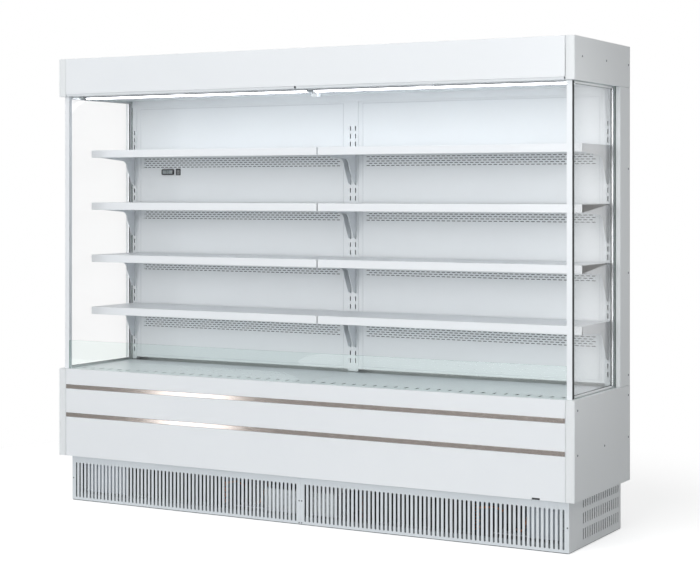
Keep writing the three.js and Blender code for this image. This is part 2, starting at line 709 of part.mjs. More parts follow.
// ------------------------------------------------------- fans and heat units
// An axial fan about its own Y axis.
function axialFan({ radius, hub, depth, blades }) {
  const rootHalf = hub * BLADE.rootShare;
  const root = Math.sqrt(hub * hub - rootHalf * rootHalf) - BLADE.thickness;
  const outline = [
    [root, rootHalf],
    [root, -rootHalf],
    ...arc(0, 0, radius, -BLADE.tipHalfAngle, BLADE.tipHalfAngle, BLADE.tipSteps),
  ];
  const bladeSolids = Array.from({ length: blades }, (_, i) =>
    prism('z', -BLADE.thickness / 2, BLADE.thickness / 2, outline)
      .rotateX(THREE.MathUtils.degToRad(BLADE.pitch))
      .rotateZ((2 * Math.PI * i) / blades));
  const hubSolid = turned([[0, -depth / 2], [hub, -depth / 2], [hub, depth / 2], [0, depth / 2]]);
  return joined(hubSolid, ...bladeSolids).rotateX(Math.PI / 2);
}

// A finned block: a rim with upright gaps between thick fins.
function finnedBlock(width, height, { finPitch, fin, rim }, y0, y1) {
  const gap = finPitch - fin;
  const gaps = slotStarts(width - 2 * rim, gap, finPitch).map((x) =>
    rectangle(x, x + gap, rim, height - rim));
  return prism('y', y0, y1, rectangle(-width / 2, width / 2, 0, height), gaps);
}

// A fan motor behind a plate, held by a strap that bridges the fan's hole.
function fanMotor(x, z, plateRear, fan, motor) {
  const motorFront = plateRear + fan.depth + motor.gap;
  const motorRear = motorFront + motor.length;
  const reach = fan.radius + fan.tipGap + motor.strapGap;
  const strap = foldedOutline([
    [x - reach, plateRear - DUCT_WALL / 2],
    [x - reach, motorRear],
    [x + reach, motorRear],
    [x + reach, plateRear - DUCT_WALL / 2],
  ], DUCT_WALL);
  return [
    cylinderAlongY(x, z, motor.radius, motorFront, motorRear + DUCT_WALL / 2),
    prism('z', z - motor.strap / 2, z + motor.strap / 2, strap),
  ];
}

// The condenser with its shroud and fan motor, from the coil's front face.
const shroudRear = CONDENSER.depth + SHROUD_DEPTH;
const condenserFanY = shroudRear + CONDENSER_FAN.depth / 2;

function condenser() {
  const { width, height, depth, feet } = CONDENSER;
  const half = width / 2;
  const hole = circle(0, height / 2, CONDENSER_FAN.radius + CONDENSER_FAN.tipGap);
  const outline = rectangle(-half, half, 0, height);
  const bore = rectangle(-half + DUCT_WALL, half - DUCT_WALL, DUCT_WALL, height - DUCT_WALL);
  const feetSolids = [-half, half - RAIL_WIDTH].map((x) =>
    boxBetween(x, x + RAIL_WIDTH, 0, depth, -feet, DUCT_WALL));
  return joined(
    finnedBlock(width, height, CONDENSER, 0, depth),
    prism('y', depth - OVERLAP, shroudRear, outline, [bore]),
    prism('y', shroudRear - DUCT_WALL, shroudRear, outline, [hole]),
    ...fanMotor(0, height / 2, shroudRear, CONDENSER_FAN, CONDENSER_MOTOR),
    ...feetSolids);
}

function compressor() {
  const { radius, height, foot, footSheet, base: baseRadius, dome } = COMPRESSOR;
  const bottom = footSheet / 2;
  const shell = turned([
    [0, bottom],
    ...arc(radius - baseRadius, bottom + baseRadius, baseRadius, -90, 0, EDGE_STEPS),
    ...arc(radius - dome, height - dome, dome, 0, 90, EDGE_STEPS + 1),
    [0, height],
  ]);
  return joined(shell, boxBetween(-foot / 2, foot / 2, -foot / 2, foot / 2, 0, footSheet));
}

function controlBox() {
  const { width, depth, height, chamfer } = CONTROL_BOX;
  const outline = [
    [0, 0],
    [width, 0],
    [width, height - chamfer],
    [width - chamfer, height],
    [chamfer, height],
    [0, height - chamfer],
  ];
  return prism('y', 0, depth, outline);
}

function condensatePan(width) {
  const { depth, height, wall } = CONDENSATE_PAN;
  const hollow = boxBetween(wall, width - wall, wall, depth - wall, wall, height + OVERLAP);
  return cut(boxBetween(0, width, 0, depth, 0, height), hollow);
}

// The evaporator with its cover and fan plate; zero height is the tub's floor.
const coilBack = backWallFront - EVAPORATOR_TO_WALL;
const coilFront = coilBack - EVAPORATOR.depth;
const fanPlateRear = coilFront - FAN_CHAMBER;
const evaporatorFanY = fanPlateRear + EVAPORATOR_FAN.depth / 2;
const evaporatorZ = tubFloorTop + CLEARANCE;
const evaporatorFanZ = EVAPORATOR.height / 2;

function evaporator() {
  const { width, height } = EVAPORATOR;
  const half = width / 2;
  const fanStations = [-EVAPORATOR_FAN.offset, EVAPORATOR_FAN.offset];
  const holes = fanStations.map((x) =>
    circle(x, evaporatorFanZ, EVAPORATOR_FAN.radius + EVAPORATOR_FAN.tipGap));
  const bore = rectangle(-half + DUCT_WALL, half - DUCT_WALL, DUCT_WALL, height - DUCT_WALL);
  const plate = rectangle(-half, half, 0, tubTop - evaporatorZ);
  return joined(
    finnedBlock(width, height, EVAPORATOR, coilFront, coilBack),
    prism('y', fanPlateRear - OVERLAP, coilFront + OVERLAP,
      rectangle(-half, half, 0, height), [bore]),
    prism('y', fanPlateRear - DUCT_WALL, fanPlateRear, plate, holes),
    ...fanStations.flatMap((x) =>
      fanMotor(x, evaporatorFanZ, fanPlateRear, EVAPORATOR_FAN, EVAPORATOR_MOTOR)));
}

// ----------------------------------------------------------------- assembly
const fridge = new THREE.Group();

function section() {
  const group = new THREE.Group();
  fridge.add(group);
  return group;
}

function place(group, name, geometry, material, position = [0, 0, 0]) {
  const mesh = new THREE.Mesh(geometry, material);
  mesh.name = name;
  mesh.position.set(...position);
  group.add(mesh);
}

const SIDES = [['left', -1], ['right', 1]];

// Places the same piece at the left and the right of the middle.
function placePair(group, name, geometry, makeMaterial, x, y = 0, z = 0) {
  for (const [side, sign] of SIDES) {
    place(group, `${name}_${side}`, geometry, makeMaterial(), [sign * x, y, z]);
  }
}

const base = section();
place(base, 'base_frame', baseFrame(), galvanised());
placePair(base, 'base_grille', baseGrille(), whiteEnamel, CLEARANCE / 2 + grilleWidth / 2, baseFront);
placePair(base, 'base_side_panel', baseSidePanel(), greyEnamel, baseHalf - SHEET / 2);

const machinery = section();
machinery.position.z = trayTop + CLEARANCE;
const condenserSolid = condenser();
const condenserFanSolid = axialFan(CONDENSER_FAN);
const compressorSolid = compressor();
const coilHalf = CONDENSER.width / 2;
const footHalf = COMPRESSOR.foot / 2;
const coilX = {};
const compressorX = {};
for (const [side, sign] of SIDES) {
  coilX[side] = sign * (baseHalf - CONDENSER_FROM_END[side] - coilHalf);
  compressorX[side] = coilX[side] + coilHalf + COMPRESSOR_TO_COIL[side] + footHalf;
  const coilY = front + CONDENSER_FROM_FRONT;
  const coilZ = CONDENSER.feet;
  place(machinery, `condenser_coil_${side}`, condenserSolid, aluminiumFins(), [coilX[side], coilY, coilZ]);
  place(machinery, `condenser_fan_${side}`, condenserFanSolid, blackMetal(),
    [coilX[side], coilY + condenserFanY, coilZ + CONDENSER.height / 2]);
  place(machinery, `compressor_${side}`, compressorSolid, blackMetal(),
    [compressorX[side], front + COMPRESSOR_FROM_FRONT, 0]);
}
place(machinery, 'control_box', controlBox(), greyEnamel(),
  [-baseHalf + CONTROL_BOX.fromEnd, front + CONTROL_BOX.fromFront, 0]);
const panLeft = compressorX.left + footHalf + CONDENSATE_PAN.toCompressor;
const panRight = coilX.right - coilHalf - CONDENSATE_PAN.toCoil;
place(machinery, 'condensate_pan', condensatePan(panRight - panLeft), galvanised(),
  [panLeft, front + CONDENSATE_PAN.fromFront, 0]);

const cabinet = section();
const endX = halfWidth - END_WALL / 2;
place(cabinet, 'insulated_tub', insulatedTub(), liner());
place(cabinet, 'front_panel', frontPanel(), whiteEnamel());
place(cabinet, 'trim_bar_upper', trimBar(), stainless(), [0, 0, DECK_HEIGHT - TRIM_UPPER_DROP]);
place(cabinet, 'trim_bar_lower', trimBar(), stainless(), [0, 0, DECK_HEIGHT - TRIM_LOWER_DROP]);
placePair(cabinet, 'lower_side_panel', endPanel(BASE_HEIGHT, DECK_HEIGHT), greyEnamel, endX);
place(cabinet, 'back_wall', backWall(), liner());
placePair(cabinet, 'rear_column', rearColumn(), greyEnamel, endX);
placePair(cabinet, 'bottom_deck', bottomDeck(), whiteEnamel, bayCentre);
place(cabinet, 'evaporator_coil', evaporator(), aluminiumFins(), [0, 0, evaporatorZ]);
placePair(cabinet, 'evaporator_fan', axialFan(EVAPORATOR_FAN), blackMetal,
  EVAPORATOR_FAN.offset, evaporatorFanY, evaporatorZ + evaporatorFanZ);

const glazing = section();
const glassX = innerHalf + GLASS_UNIT / 2;
placePair(glazing, 'side_glass', sideGlass(), clearGlass, glassX);
placePair(glazing, 'side_glass_trim', sideGlassTrim(), whiteEnamel, glassX);
place(glazing, 'front_glass', frontGlass(), clearGlass());

const canopy = section();
place(canopy, 'canopy_roof', canopyRoof(), whiteEnamel());
place(canopy, 'canopy_front_panel', canopyFrontPanel(), whiteEnamel());
placePair(canopy, 'canopy_side', endPanel(canopyBottom, CASE_HEIGHT), greyEnamel, endX);
place(canopy, 'ceiling_liner', ceilingLiner(), liner());
place(canopy, 'air_outlet_honeycomb', airOutlet(), blackMetal());
placePair(canopy, 'led_lamp', ledLamp(), () => finish(0xfbfdff, 0.3),
  LAMP.fromCentre + lampHalf, lampFront + LAMP.width / 2, ceilingBottom - CLEARANCE);
placePair(canopy, 'curtain_roller', curtainRoller(), liner, bayCentre, rollerY, rollerZ);
placePair(canopy, 'curtain_cloth', curtainCloth(), () => finish(0xd9dde0, 0.9), bayCentre);
placePair(canopy, 'curtain_pull_bar', curtainPullBar(), greyEnamel, bayCentre, 0, canopyBottom);

const interior = section();
placePair(interior, 'back_panel', backPanel(), liner, bayCentre);
place(interior, 'shelf_standard_left', endStandard(-1), liner());
place(interior, 'shelf_standard_centre', centreStandard(), liner());
place(interior, 'shelf_standard_right', endStandard(1), liner());
const shelfSolid = shelf();
shelfHeights.forEach((z, i) => {
  placePair(interior, `shelf_${i + 1}`, shelfSolid, whiteEnamel, bayCentre, 0, z);
});
place(interior, 'thermometer', thermometer(), blackMetal());

export default fridge;
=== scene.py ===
# %% [markdown]
# # An open multideck display fridge
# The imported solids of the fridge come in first. Everything made here sits on
# them, in the same place and size, so no piece has to be fitted by eye.

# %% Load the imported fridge
import json
import math

import bmesh
import bpy
import numpy as np
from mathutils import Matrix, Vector

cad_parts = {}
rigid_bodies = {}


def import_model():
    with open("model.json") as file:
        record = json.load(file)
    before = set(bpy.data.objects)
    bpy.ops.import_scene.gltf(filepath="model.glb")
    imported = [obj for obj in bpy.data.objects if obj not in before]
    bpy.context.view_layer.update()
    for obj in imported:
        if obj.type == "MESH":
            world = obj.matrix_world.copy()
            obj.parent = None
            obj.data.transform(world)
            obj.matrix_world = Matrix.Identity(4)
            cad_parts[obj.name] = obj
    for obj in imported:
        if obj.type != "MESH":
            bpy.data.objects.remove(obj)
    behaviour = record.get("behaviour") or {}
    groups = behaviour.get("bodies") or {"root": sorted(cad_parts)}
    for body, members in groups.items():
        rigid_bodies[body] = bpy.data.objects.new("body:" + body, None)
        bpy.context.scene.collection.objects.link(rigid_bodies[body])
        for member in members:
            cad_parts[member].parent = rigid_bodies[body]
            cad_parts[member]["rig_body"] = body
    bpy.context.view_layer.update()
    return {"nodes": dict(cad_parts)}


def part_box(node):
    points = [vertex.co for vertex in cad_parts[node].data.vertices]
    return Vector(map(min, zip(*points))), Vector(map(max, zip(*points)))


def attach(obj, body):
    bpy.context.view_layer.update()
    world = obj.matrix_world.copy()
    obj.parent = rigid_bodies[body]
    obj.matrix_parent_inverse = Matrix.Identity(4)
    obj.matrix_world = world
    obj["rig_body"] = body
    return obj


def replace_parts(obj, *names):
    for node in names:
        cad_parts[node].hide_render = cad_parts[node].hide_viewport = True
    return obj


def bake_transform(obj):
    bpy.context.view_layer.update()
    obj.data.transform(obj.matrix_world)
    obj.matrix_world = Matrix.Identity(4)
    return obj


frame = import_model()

# %% [markdown]
# ## Camera
# A product photograph like this one keeps its uprights parallel: the camera
# looks level, and the lens is shifted down to take in the base. Turning the
# camera down instead would make the uprights lean. Its place and lens were
# found by fitting the corners of the case to the photograph.

# %% Camera
camera = bpy.data.objects.new("camera", bpy.data.cameras.new("camera"))
bpy.context.scene.collection.objects.link(camera)
bpy.context.scene.camera = camera
camera.location = (3.5553, -6.2472, 1.3671)
camera.rotation_euler = (math.radians(90), 0, math.radians(29.02))
camera.data.lens = 87.07
camera.data.shift_y = -0.1419
camera.data.clip_end = 60
print("camera stands", round(camera.location.length, 2), "m from the middle")

# %% [markdown]
# ## Colours and nodes
# A colour picked off a screen is an sRGB value, and the renderer adds up light
# in linear values, so one function turns one into the other. A second function
# adds a node with its settings and links, which keeps each material readable.


# %% Colour and node helpers
def linear(hex_colour):
    """sRGB hex to linear: a channel c is c / 12.92 up to 0.04045, and
    ((c + 0.055) / 1.055) to the power 2.4 above it."""
    c = np.array([int(hex_colour[i : i + 2], 16) for i in (1, 3, 5)]) / 255
    c = np.where(c <= 0.04045, c / 12.92, ((c + 0.055) / 1.055) ** 2.4)
    return (*c.tolist(), 1.0)


def node(tree, kind, inputs=None, **settings):
    """Adds a node. inputs gives a socket a number, or the output it is fed by."""
    made = tree.nodes.new("ShaderNode" + kind)
    for name, value in settings.items():
        setattr(made, name, value)
    for socket, value in (inputs or {}).items():
        if isinstance(value, bpy.types.NodeSocket):
            tree.links.new(value, made.inputs[socket])
        else:
            made.inputs[socket].default_value = value
    return made


def empty_material(name):
    """A material with no nodes yet, and its tree."""
    material = bpy.data.materials.new(name)
    material.use_nodes = True
    material.node_tree.nodes.clear()
    print("material", name)
    return material, material.node_tree


def shades(tree, factor, dark, light):
    """A colour that goes from dark to light as factor goes from 0 to 1."""
    mix = node(tree, "Mix", {0: factor, 6: linear(dark), 7: linear(light)}, data_type="RGBA")
    return mix.outputs[2]


def place_on(tree, scale=(1, 1, 1)):
    """The object's own place in metres, stretched by scale."""
    at = node(tree, "TexCoord").outputs["Object"]
    return node(tree, "Mapping", {"Vector": at, "Scale": scale}).outputs["Vector"]


def surface(name, **sockets):
    """A material with one Principled shader, its uniform values set on its own
    sockets. Returns the material, its tree and the shader."""
    material, tree = empty_material(name)
    shader = node(tree, "BsdfPrincipled")
    for socket, value in sockets.items():
        shader.inputs[socket.replace("_", " ")].default_value = value
    output = node(tree, "OutputMaterial")
    tree.links.new(shader.outputs["BSDF"], output.inputs["Surface"])
    return material, tree, shader


print("half-way grey #808080 is", round(linear("#808080")[0], 3), "in linear light")

# %% [markdown]
# ## Powder-coated steel
# The cabinet is sheet steel sprayed with polyester powder and baked. The
# powder flows out into a faint orange peel, bumps 2 to 3 mm across and a few
# hundredths of a millimetre high, and the gloss varies a little with it. A
# slow noise in the colour stands for handling and for how the coat gathers.


# %% Powder coat
def powder_coat(name, dark, light, roughness, peel_mm=2.6, peel_height=0.00005):
    """Powder coat: colour drifts from dark to light over about 0.4 m, and the
    orange peel is a noise whose features are peel_mm across."""
    material, tree, shader = surface(name, IOR=1.5)
    drift = node(tree, "TexNoise", {"Vector": place_on(tree), "Scale": 2.5, "Detail": 3.0})
    peel = node(tree, "TexNoise", {"Vector": place_on(tree), "Scale": 1000 / peel_mm, "Detail": 2.0})
    gloss = node(tree, "MapRange", {
        "Value": drift.outputs["Fac"], "From Min": 0.3, "From Max": 0.7,
        "To Min": roughness - 0.04, "To Max": roughness + 0.06})
    bump = node(tree, "Bump", {
        "Height": peel.outputs["Fac"], "Strength": 0.6, "Distance": peel_height})
    tree.links.new(shades(tree, drift.outputs["Fac"], dark, light), shader.inputs["Base Color"])
    tree.links.new(gloss.outputs["Result"], shader.inputs["Roughness"])
    tree.links.new(bump.outputs["Normal"], shader.inputs["Normal"])
    return material


WHITE_COAT = powder_coat("powder_coat_white", "#EBEFF3", "#F2F5F8", 0.36)
# The ends get a slightly greyer copy of the white coat: painted shade, as the ends are white like the
# front but face away from the light.
SHADED_END_COAT = powder_coat("powder_coat_shaded_ends", "#E6EAEC", "#EEF1F3", 0.42)
LINER_COAT = powder_coat("powder_coat_liner", "#E3E7EA", "#ECF0F2", 0.40)
BAR_COAT = powder_coat("powder_coat_pull_bar", "#D9DEE2", "#E2E6EA", 0.38)
# The base grille's coat is greyer: partly the grille's own grey, partly painted shade for the shade under
# the overhang above it.
GRILLE_GREY_AND_SHADE = powder_coat("base_coat_grey_and_shade", "#DAE0E5", "#E2E7EB", 0.42)
BOX_COAT = powder_coat("hammered_grey_blue_paint", "#B4BFCA", "#C8D1DA", 0.45, 4.0, 0.0001)
COMPRESSOR_COAT = powder_coat("stove_black_paint", "#17191B", "#26292C", 0.38, 1.5)

# %% [markdown]
# ## Stainless steel and other metals
# The two trim bars are brushed along their length. The scratches are finer
# than a pixel, so they are drawn about 1 mm wide: a noise stretched along X
# tips the surface up and down, which spreads a reflection into the vertical
# streak that brushed metal shows. Aluminium and zinc use the same idea with
# other colours and less grain. The condensers' fins are near black and the
# galvanised sheet inside the base is a dark grey, both as painted shade for
# the shaded inside of the base, so little light comes back through the grille.


# %% Metals
def brushed_metal(name, dark, light, roughness, along=(0.02, 1, 1), grain_mm=1.0, depth=0.00004):
    """Metal with a grain: the noise is stretched along the axis whose entry in
    along is small, and grain_mm is the spacing of the scratches across it."""
    material, tree, shader = surface(name, Metallic=1.0)
    grain = node(tree, "TexNoise", {
        "Vector": place_on(tree, along), "Scale": 1000 / grain_mm, "Detail": 3.0})
    rough = node(tree, "MapRange", {
        "Value": grain.outputs["Fac"], "From Min": 0.3, "From Max": 0.7,
        "To Min": roughness - 0.06, "To Max": roughness + 0.08})
    bump = node(tree, "Bump", {
        "Height": grain.outputs["Fac"], "Strength": 0.5, "Distance": depth})
    tree.links.new(shades(tree, grain.outputs["Fac"], dark, light), shader.inputs["Base Color"])
    tree.links.new(rough.outputs["Result"], shader.inputs["Roughness"])
    tree.links.new(bump.outputs["Normal"], shader.inputs["Normal"])
    return material


def spangled_zinc(name, dark, light):
    """Galvanised sheet: cells about 12 mm across, each a slightly different grey
    and gloss, as the zinc froze into crystals."""
    material, tree, shader = surface(name, Metallic=0.85)
    cells = node(tree, "TexVoronoi", {"Vector": place_on(tree), "Scale": 1000 / 12})
    shade = node(tree, "SeparateColor", {"Color": cells.outputs["Color"]}).outputs["Red"]
    rough = node(tree, "MapRange", {"Value": shade, "To Min": 0.38, "To Max": 0.55})
    tree.links.new(shades(tree, shade, dark, light), shader.inputs["Base Color"])
    tree.links.new(rough.outputs["Result"], shader.inputs["Roughness"])
    return material


# The stainless colour is darker than bare steel: partly its own tone, partly a painted reflection of the
# darker surroundings that the bars mirror.
STEEL_TRIM_AND_REFLECTION = brushed_metal("brushed_steel_darkened_reflection", "#746E6A", "#918B87", 0.18)
ALUMINIUM = brushed_metal("anodised_aluminium", "#C9CDD0", "#DDE1E3", 0.34, grain_mm=1.5)
SPACER_METAL = brushed_metal("mill_finish_aluminium", "#DADDDF", "#E6E8EA", 0.4, grain_mm=1.5)
COIL_FINS = brushed_metal("aluminium_fin_stock", "#5B5F62", "#8D9194", 0.5, (1, 1, 0.05), 1.2)
# Near-black fins: painted shade for the shaded inside of the base.
SHADE_DARK_FINS = powder_coat("near_black_fins_painted_shade", "#0C0D0E", "#1B1D1F", 0.6, 1.2)
COPPER = brushed_metal("drawn_copper_tube", "#A5603C", "#C98257", 0.3, (1, 1, 1), 3.0)
# The screws' zinc is darker than plated zinc: partly its own grey, partly painted shade for the shade in
# the cross recess and round the head.
SCREW_METAL_AND_SHADE = brushed_metal("screw_zinc_and_shade", "#5C6165", "#83888C", 0.3, (1, 1, 1), 0.8)
ZINC = spangled_zinc("galvanised_steel", "#A9AEB1", "#C6CACC")
# Dark grey zinc: painted shade for the shaded inside of the base.
SHADE_DARK_ZINC = spangled_zinc("zinc_sheet_darkened_as_shade", "#45494C", "#62676A")

# %% [markdown]
# ## Glass
# A thin pane hardly bends what is behind it, and rendering it as thick glass
# would throw a dark shadow into the cabinet. So a pane lets light straight
# through with next to no tint, and mirrors more as it is seen edge on.
# Schlick's rule gives 4% head on, plus 96% of (1 - cosine) to the fifth power,
# and the low-reflection coat of display glass halves both. A cut edge shows
# the tint of a long path through the glass.


# %% Glass
def window_glass(name, tint, body=0.0, body_colour="#B9D8CF"):
    """Thin glass: what is behind it times tint, mirrored by half of Schlick's rule.
    body is the share that its own colour covers, as at a cut edge."""
    material, tree = empty_material(name)
    facing = node(tree, "LayerWeight", {"Blend": 0.5}).outputs["Facing"]
    fifth = node(tree, "Math", {0: facing, 1: 5.0}, operation="POWER").outputs[0]
    mirror = node(tree, "Math", {0: fifth, 1: 0.48, 2: 0.02}, operation="MULTIPLY_ADD").outputs[0]
    through = node(tree, "BsdfTransparent", {"Color": linear(tint)}).outputs[0]
    if body:
        own = node(tree, "BsdfPrincipled", {"Base Color": linear(body_colour), "Roughness": 0.2})
        through = node(tree, "MixShader", {0: body, 1: through, 2: own.outputs[0]}).outputs[0]
    shine = node(tree, "BsdfGlossy", {"Roughness": 0.02}).outputs[0]
    seen = node(tree, "MixShader", {0: mirror, 1: through, 2: shine}).outputs[0]
    node(tree, "OutputMaterial", {"Surface": seen})
    return material


SIDE_GLASS = window_glass("low_iron_side_glass", "#FFFFFF")
RISER_GLASS = window_glass("clear_riser_glass", "#FBFEFD")
GLASS_EDGE = window_glass("ground_glass_edge", "#CFE6DE", 0.45)

# %% [markdown]
# ## Plastics, rubber and cloth
# Moulded ABS has a fine spark-eroded grain, rubber is matt and almost black,
# and the foam that lines the air duct has coarse pores; it is drawn dark as
# painted shade for the inside of the duct. The night curtain is a woven
# polyester: two sets of threads 1.6 mm apart here, about four times the real
# spacing, so that the weave still shows in the picture.


# %% Plastics, rubber and cloth
def moulded(name, dark, light, roughness, grain_mm=1.2):
    """Moulded plastic or rubber: a fine even grain in height and colour."""
    material, tree, shader = surface(name, IOR=1.5)
    grain = node(tree, "TexNoise", {"Vector": place_on(tree), "Scale": 1000 / grain_mm, "Detail": 2.0})
    rough = node(tree, "MapRange", {
        "Value": grain.outputs["Fac"], "To Min": roughness - 0.05, "To Max": roughness + 0.05})
    bump = node(tree, "Bump", {"Height": grain.outputs["Fac"], "Strength": 0.4, "Distance": 0.00005})
    tree.links.new(shades(tree, grain.outputs["Fac"], dark, light), shader.inputs["Base Color"])
    tree.links.new(rough.outputs["Result"], shader.inputs["Roughness"])
    tree.links.new(bump.outputs["Normal"], shader.inputs["Normal"])
    return material


def woven(name, dark, light, thread_mm):
    """Plain weave: one sine across and one up, each of one thread's spacing,
    multiplied, so that threads of the two sets rise in turn."""
    material, tree, shader = surface(name, Roughness=0.85, Sheen_Weight=0.25)
    at = node(tree, "SeparateXYZ", {"Vector": place_on(tree)})
    turn = math.pi * 1000 / thread_mm
    waves = [node(tree, "Math", {0: at.outputs[axis], 1: turn}, operation="MULTIPLY").outputs[0]
             for axis in ("X", "Z")]
    sines = [node(tree, "Math", {0: wave}, operation="SINE").outputs[0] for wave in waves]
    over = node(tree, "Math", {0: sines[0], 1: sines[1]}, operation="MULTIPLY").outputs[0]
    height = node(tree, "MapRange", {"Value": over, "From Min": -1.0}).outputs["Result"]
    bump = node(tree, "Bump", {"Height": height, "Strength": 0.7, "Distance": 0.0002})
    tree.links.new(shades(tree, height, dark, light), shader.inputs["Base Color"])
    tree.links.new(bump.outputs["Normal"], shader.inputs["Normal"])
    return material


BLACK_ABS = moulded("black_abs", "#1D2023", "#2A2E31", 0.45)
GRID_PLASTIC = moulded("dark_grey_polypropylene", "#34393D", "#454A4E", 0.5)
FAN_PLASTIC = moulded("grey_polyamide", "#3A3E42", "#4A4F53", 0.5)
RUBBER = moulded("epdm_rubber", "#141617", "#202224", 0.7, 0.8)
# The duct foam's dark colour is painted shade for the inside of the duct.
DUCT_FOAM_SHADE = moulded("duct_foam_painted_shade", "#26292C", "#363A3E", 0.85, 3.0)
WHITE_PVC = moulded("white_pvc_seal", "#C9CED2", "#DADEE1", 0.5)
DISPLAY = moulded("lcd_glass", "#8D9698", "#9CA5A6", 0.2, 3.0)
CURTAIN_WEAVE = woven("woven_polyester", "#C9CDD0", "#E9ECEE", 1.6)

# %% [markdown]
# ## The lamp's milky cover
# An LED lamp is a row of chips behind a milky cover. The cover spreads their
# light, so it glows evenly from end to end, and only its own colour varies a
# little along it. Its strength is set against the photograph.

# %% Milky cover
LAMP_COVER, tree, shader = surface("milky_polycarbonate", Roughness=0.35, IOR=1.58)
chips = node(tree, "TexNoise", {"Vector": place_on(tree, (40, 1, 1)), "Scale": 1.0})
tree.links.new(shades(tree, chips.outputs["Fac"], "#F4F8FF", "#FFFFFF"), shader.inputs["Base Color"])
shader.inputs["Emission Color"].default_value = linear("#F7FAFF")
shader.inputs["Emission Strength"].default_value = 6.8

# %% [markdown]
# ## From arrays to a mesh
# Every new surface is worked out as arrays of points in millimetres, and a
# table of which points make each face. Points that fall together are merged,
# and the faces of a closed shape are turned to point outwards. Edges sharper
# than 35 degrees stay sharp, and the rest are shaded smooth.


# %% Arrays to a mesh
def lattice(rows, cols, wrap_cols=False):
    """Corner numbers of the quads between rows x cols points laid row by row.
    With wrap_cols the last point of a row joins its first."""
    i = np.arange(rows - 1)[:, None]
    j = np.arange(cols if wrap_cols else cols - 1)[None, :]
    below, right = i + 1, (j + 1) % cols
    corners = (i * cols + j, i * cols + right, below * cols + right, below * cols + j)
    return np.stack(corners, -1).reshape(-1, 4)


def piece(name, parts, finish, body="root", outward=True):
    """Makes one object of parts, each (points in mm, faces), and lets it ride."""
    points, faces, start = [], [], 0
    for part_points, part_faces in parts:
        points.append(np.asarray(part_points, float).reshape(-1, 3))
        faces += [[start + corner for corner in face] for face in np.asarray(part_faces).tolist()]
        start += len(points[-1])
    mesh = bpy.data.meshes.new(name)
    mesh.from_pydata((np.vstack(points) / 1000).tolist(), [], faces)
    shape = bmesh.new()
    shape.from_mesh(mesh)
    bmesh.ops.remove_doubles(shape, verts=shape.verts, dist=1e-6)
    if outward:
        bmesh.ops.recalc_face_normals(shape, faces=shape.faces)
    shape.to_mesh(mesh)
    shape.free()
    return finished(name, mesh, finish, body)


def finished(name, mesh, finish, body="root"):
    """An object of a mesh, shaded smooth up to 35 degrees, that rides on body."""
    mesh.polygons.foreach_set("use_smooth", np.ones(len(mesh.polygons), bool))
    mesh.set_sharp_from_angle(angle=math.radians(35))
    mesh.materials.append(finish)
    made = bpy.data.objects.new(name, mesh)
    bpy.context.scene.collection.objects.link(made)
    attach(made, body)
    print(f"{name}: {len(mesh.polygons)} faces")
    return made


def given_wall(made, thickness_mm):
    """Gives an open surface a thickness, half of it to either side."""
    wall = made.modifiers.new("wall_thickness", "SOLIDIFY")
    wall.thickness, wall.offset = thickness_mm / 1000, 0


print("a lattice of 3 x 4 points has", len(lattice(3, 4)), "quads")

# %% [markdown]
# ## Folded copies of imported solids
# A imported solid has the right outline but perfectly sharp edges, and its mesh
# is loose triangles. A copy has its points merged and its flat faces made
# whole, and only then can a Bevel round the edges that are left.


# %% Folded copies
def edges_rounded(made, radius_mm):
    """A Bevel of two steps on every edge sharper than 30 degrees."""
    bevel = made.modifiers.new("rounded_edges", "BEVEL")
    bevel.width, bevel.segments = radius_mm / 1000, 2
    bevel.limit_method, bevel.angle_limit = "ANGLE", math.radians(30)
    bevel.use_clamp_overlap = True
    return made


def folded_copy(name, cad_node, finish, radius_mm, body="root"):
    """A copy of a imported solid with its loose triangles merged, its flat faces
    made whole and its edges rounded, as folded and painted sheet has them."""
    mesh = frame["nodes"][cad_node].data.copy()
    mesh.materials.clear()
    shape = bmesh.new()
    shape.from_mesh(mesh)
    bmesh.ops.remove_doubles(shape, verts=shape.verts, dist=1e-6)
    bmesh.ops.dissolve_limit(shape, angle_limit=math.radians(1), verts=shape.verts, edges=shape.edges)
    shape.to_mesh(mesh)
    shape.free()
    made = finished(name, mesh, finish, body)
    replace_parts(made, cad_node)
    return edges_rounded(made, radius_mm)


def corners(cad_node):
    """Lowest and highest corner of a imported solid, in mm."""
    low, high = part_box(cad_node)
    return np.array(low) * 1000, np.array(high) * 1000


print("the roof is", np.round(np.subtract(*corners("canopy_roof")[::-1])), "mm")

# %% [markdown]
# ## Shapes carried round, along and through
# A few formulas make nearly every small piece: a profile turned round an axis,
# a circle carried along a path, a block with rounded edges, and many thin
# plates side by side.


# %% Turned, carried and rounded shapes
def turned(profile, centre, axis=2, sides=32):
    """Turns (radius, height) points round an axis through centre: a point is
    radius x cosine, radius x sine across the axis, and height along it."""
    r, h = np.asarray(profile, float).T
    a = np.linspace(0, 2 * np.pi, sides, endpoint=False)
    flat = np.stack([r[:, None] * np.cos(a), r[:, None] * np.sin(a), h[:, None] + 0 * a], -1)
    return np.roll(flat, axis - 2, axis=-1) + centre, lattice(len(r), sides, wrap_cols=True)


def eased(path, rounds=3):
    """Cuts a path's corners: each round keeps the ends and puts points at one
    and three quarters of every leg."""
    p = np.asarray(path, float)
    for _ in range(rounds):
        legs = np.stack([0.75 * p[:-1] + 0.25 * p[1:], 0.25 * p[:-1] + 0.75 * p[1:]], 1)
        p = np.vstack([p[:1], legs.reshape(-1, 3), p[-1:]])
    return p


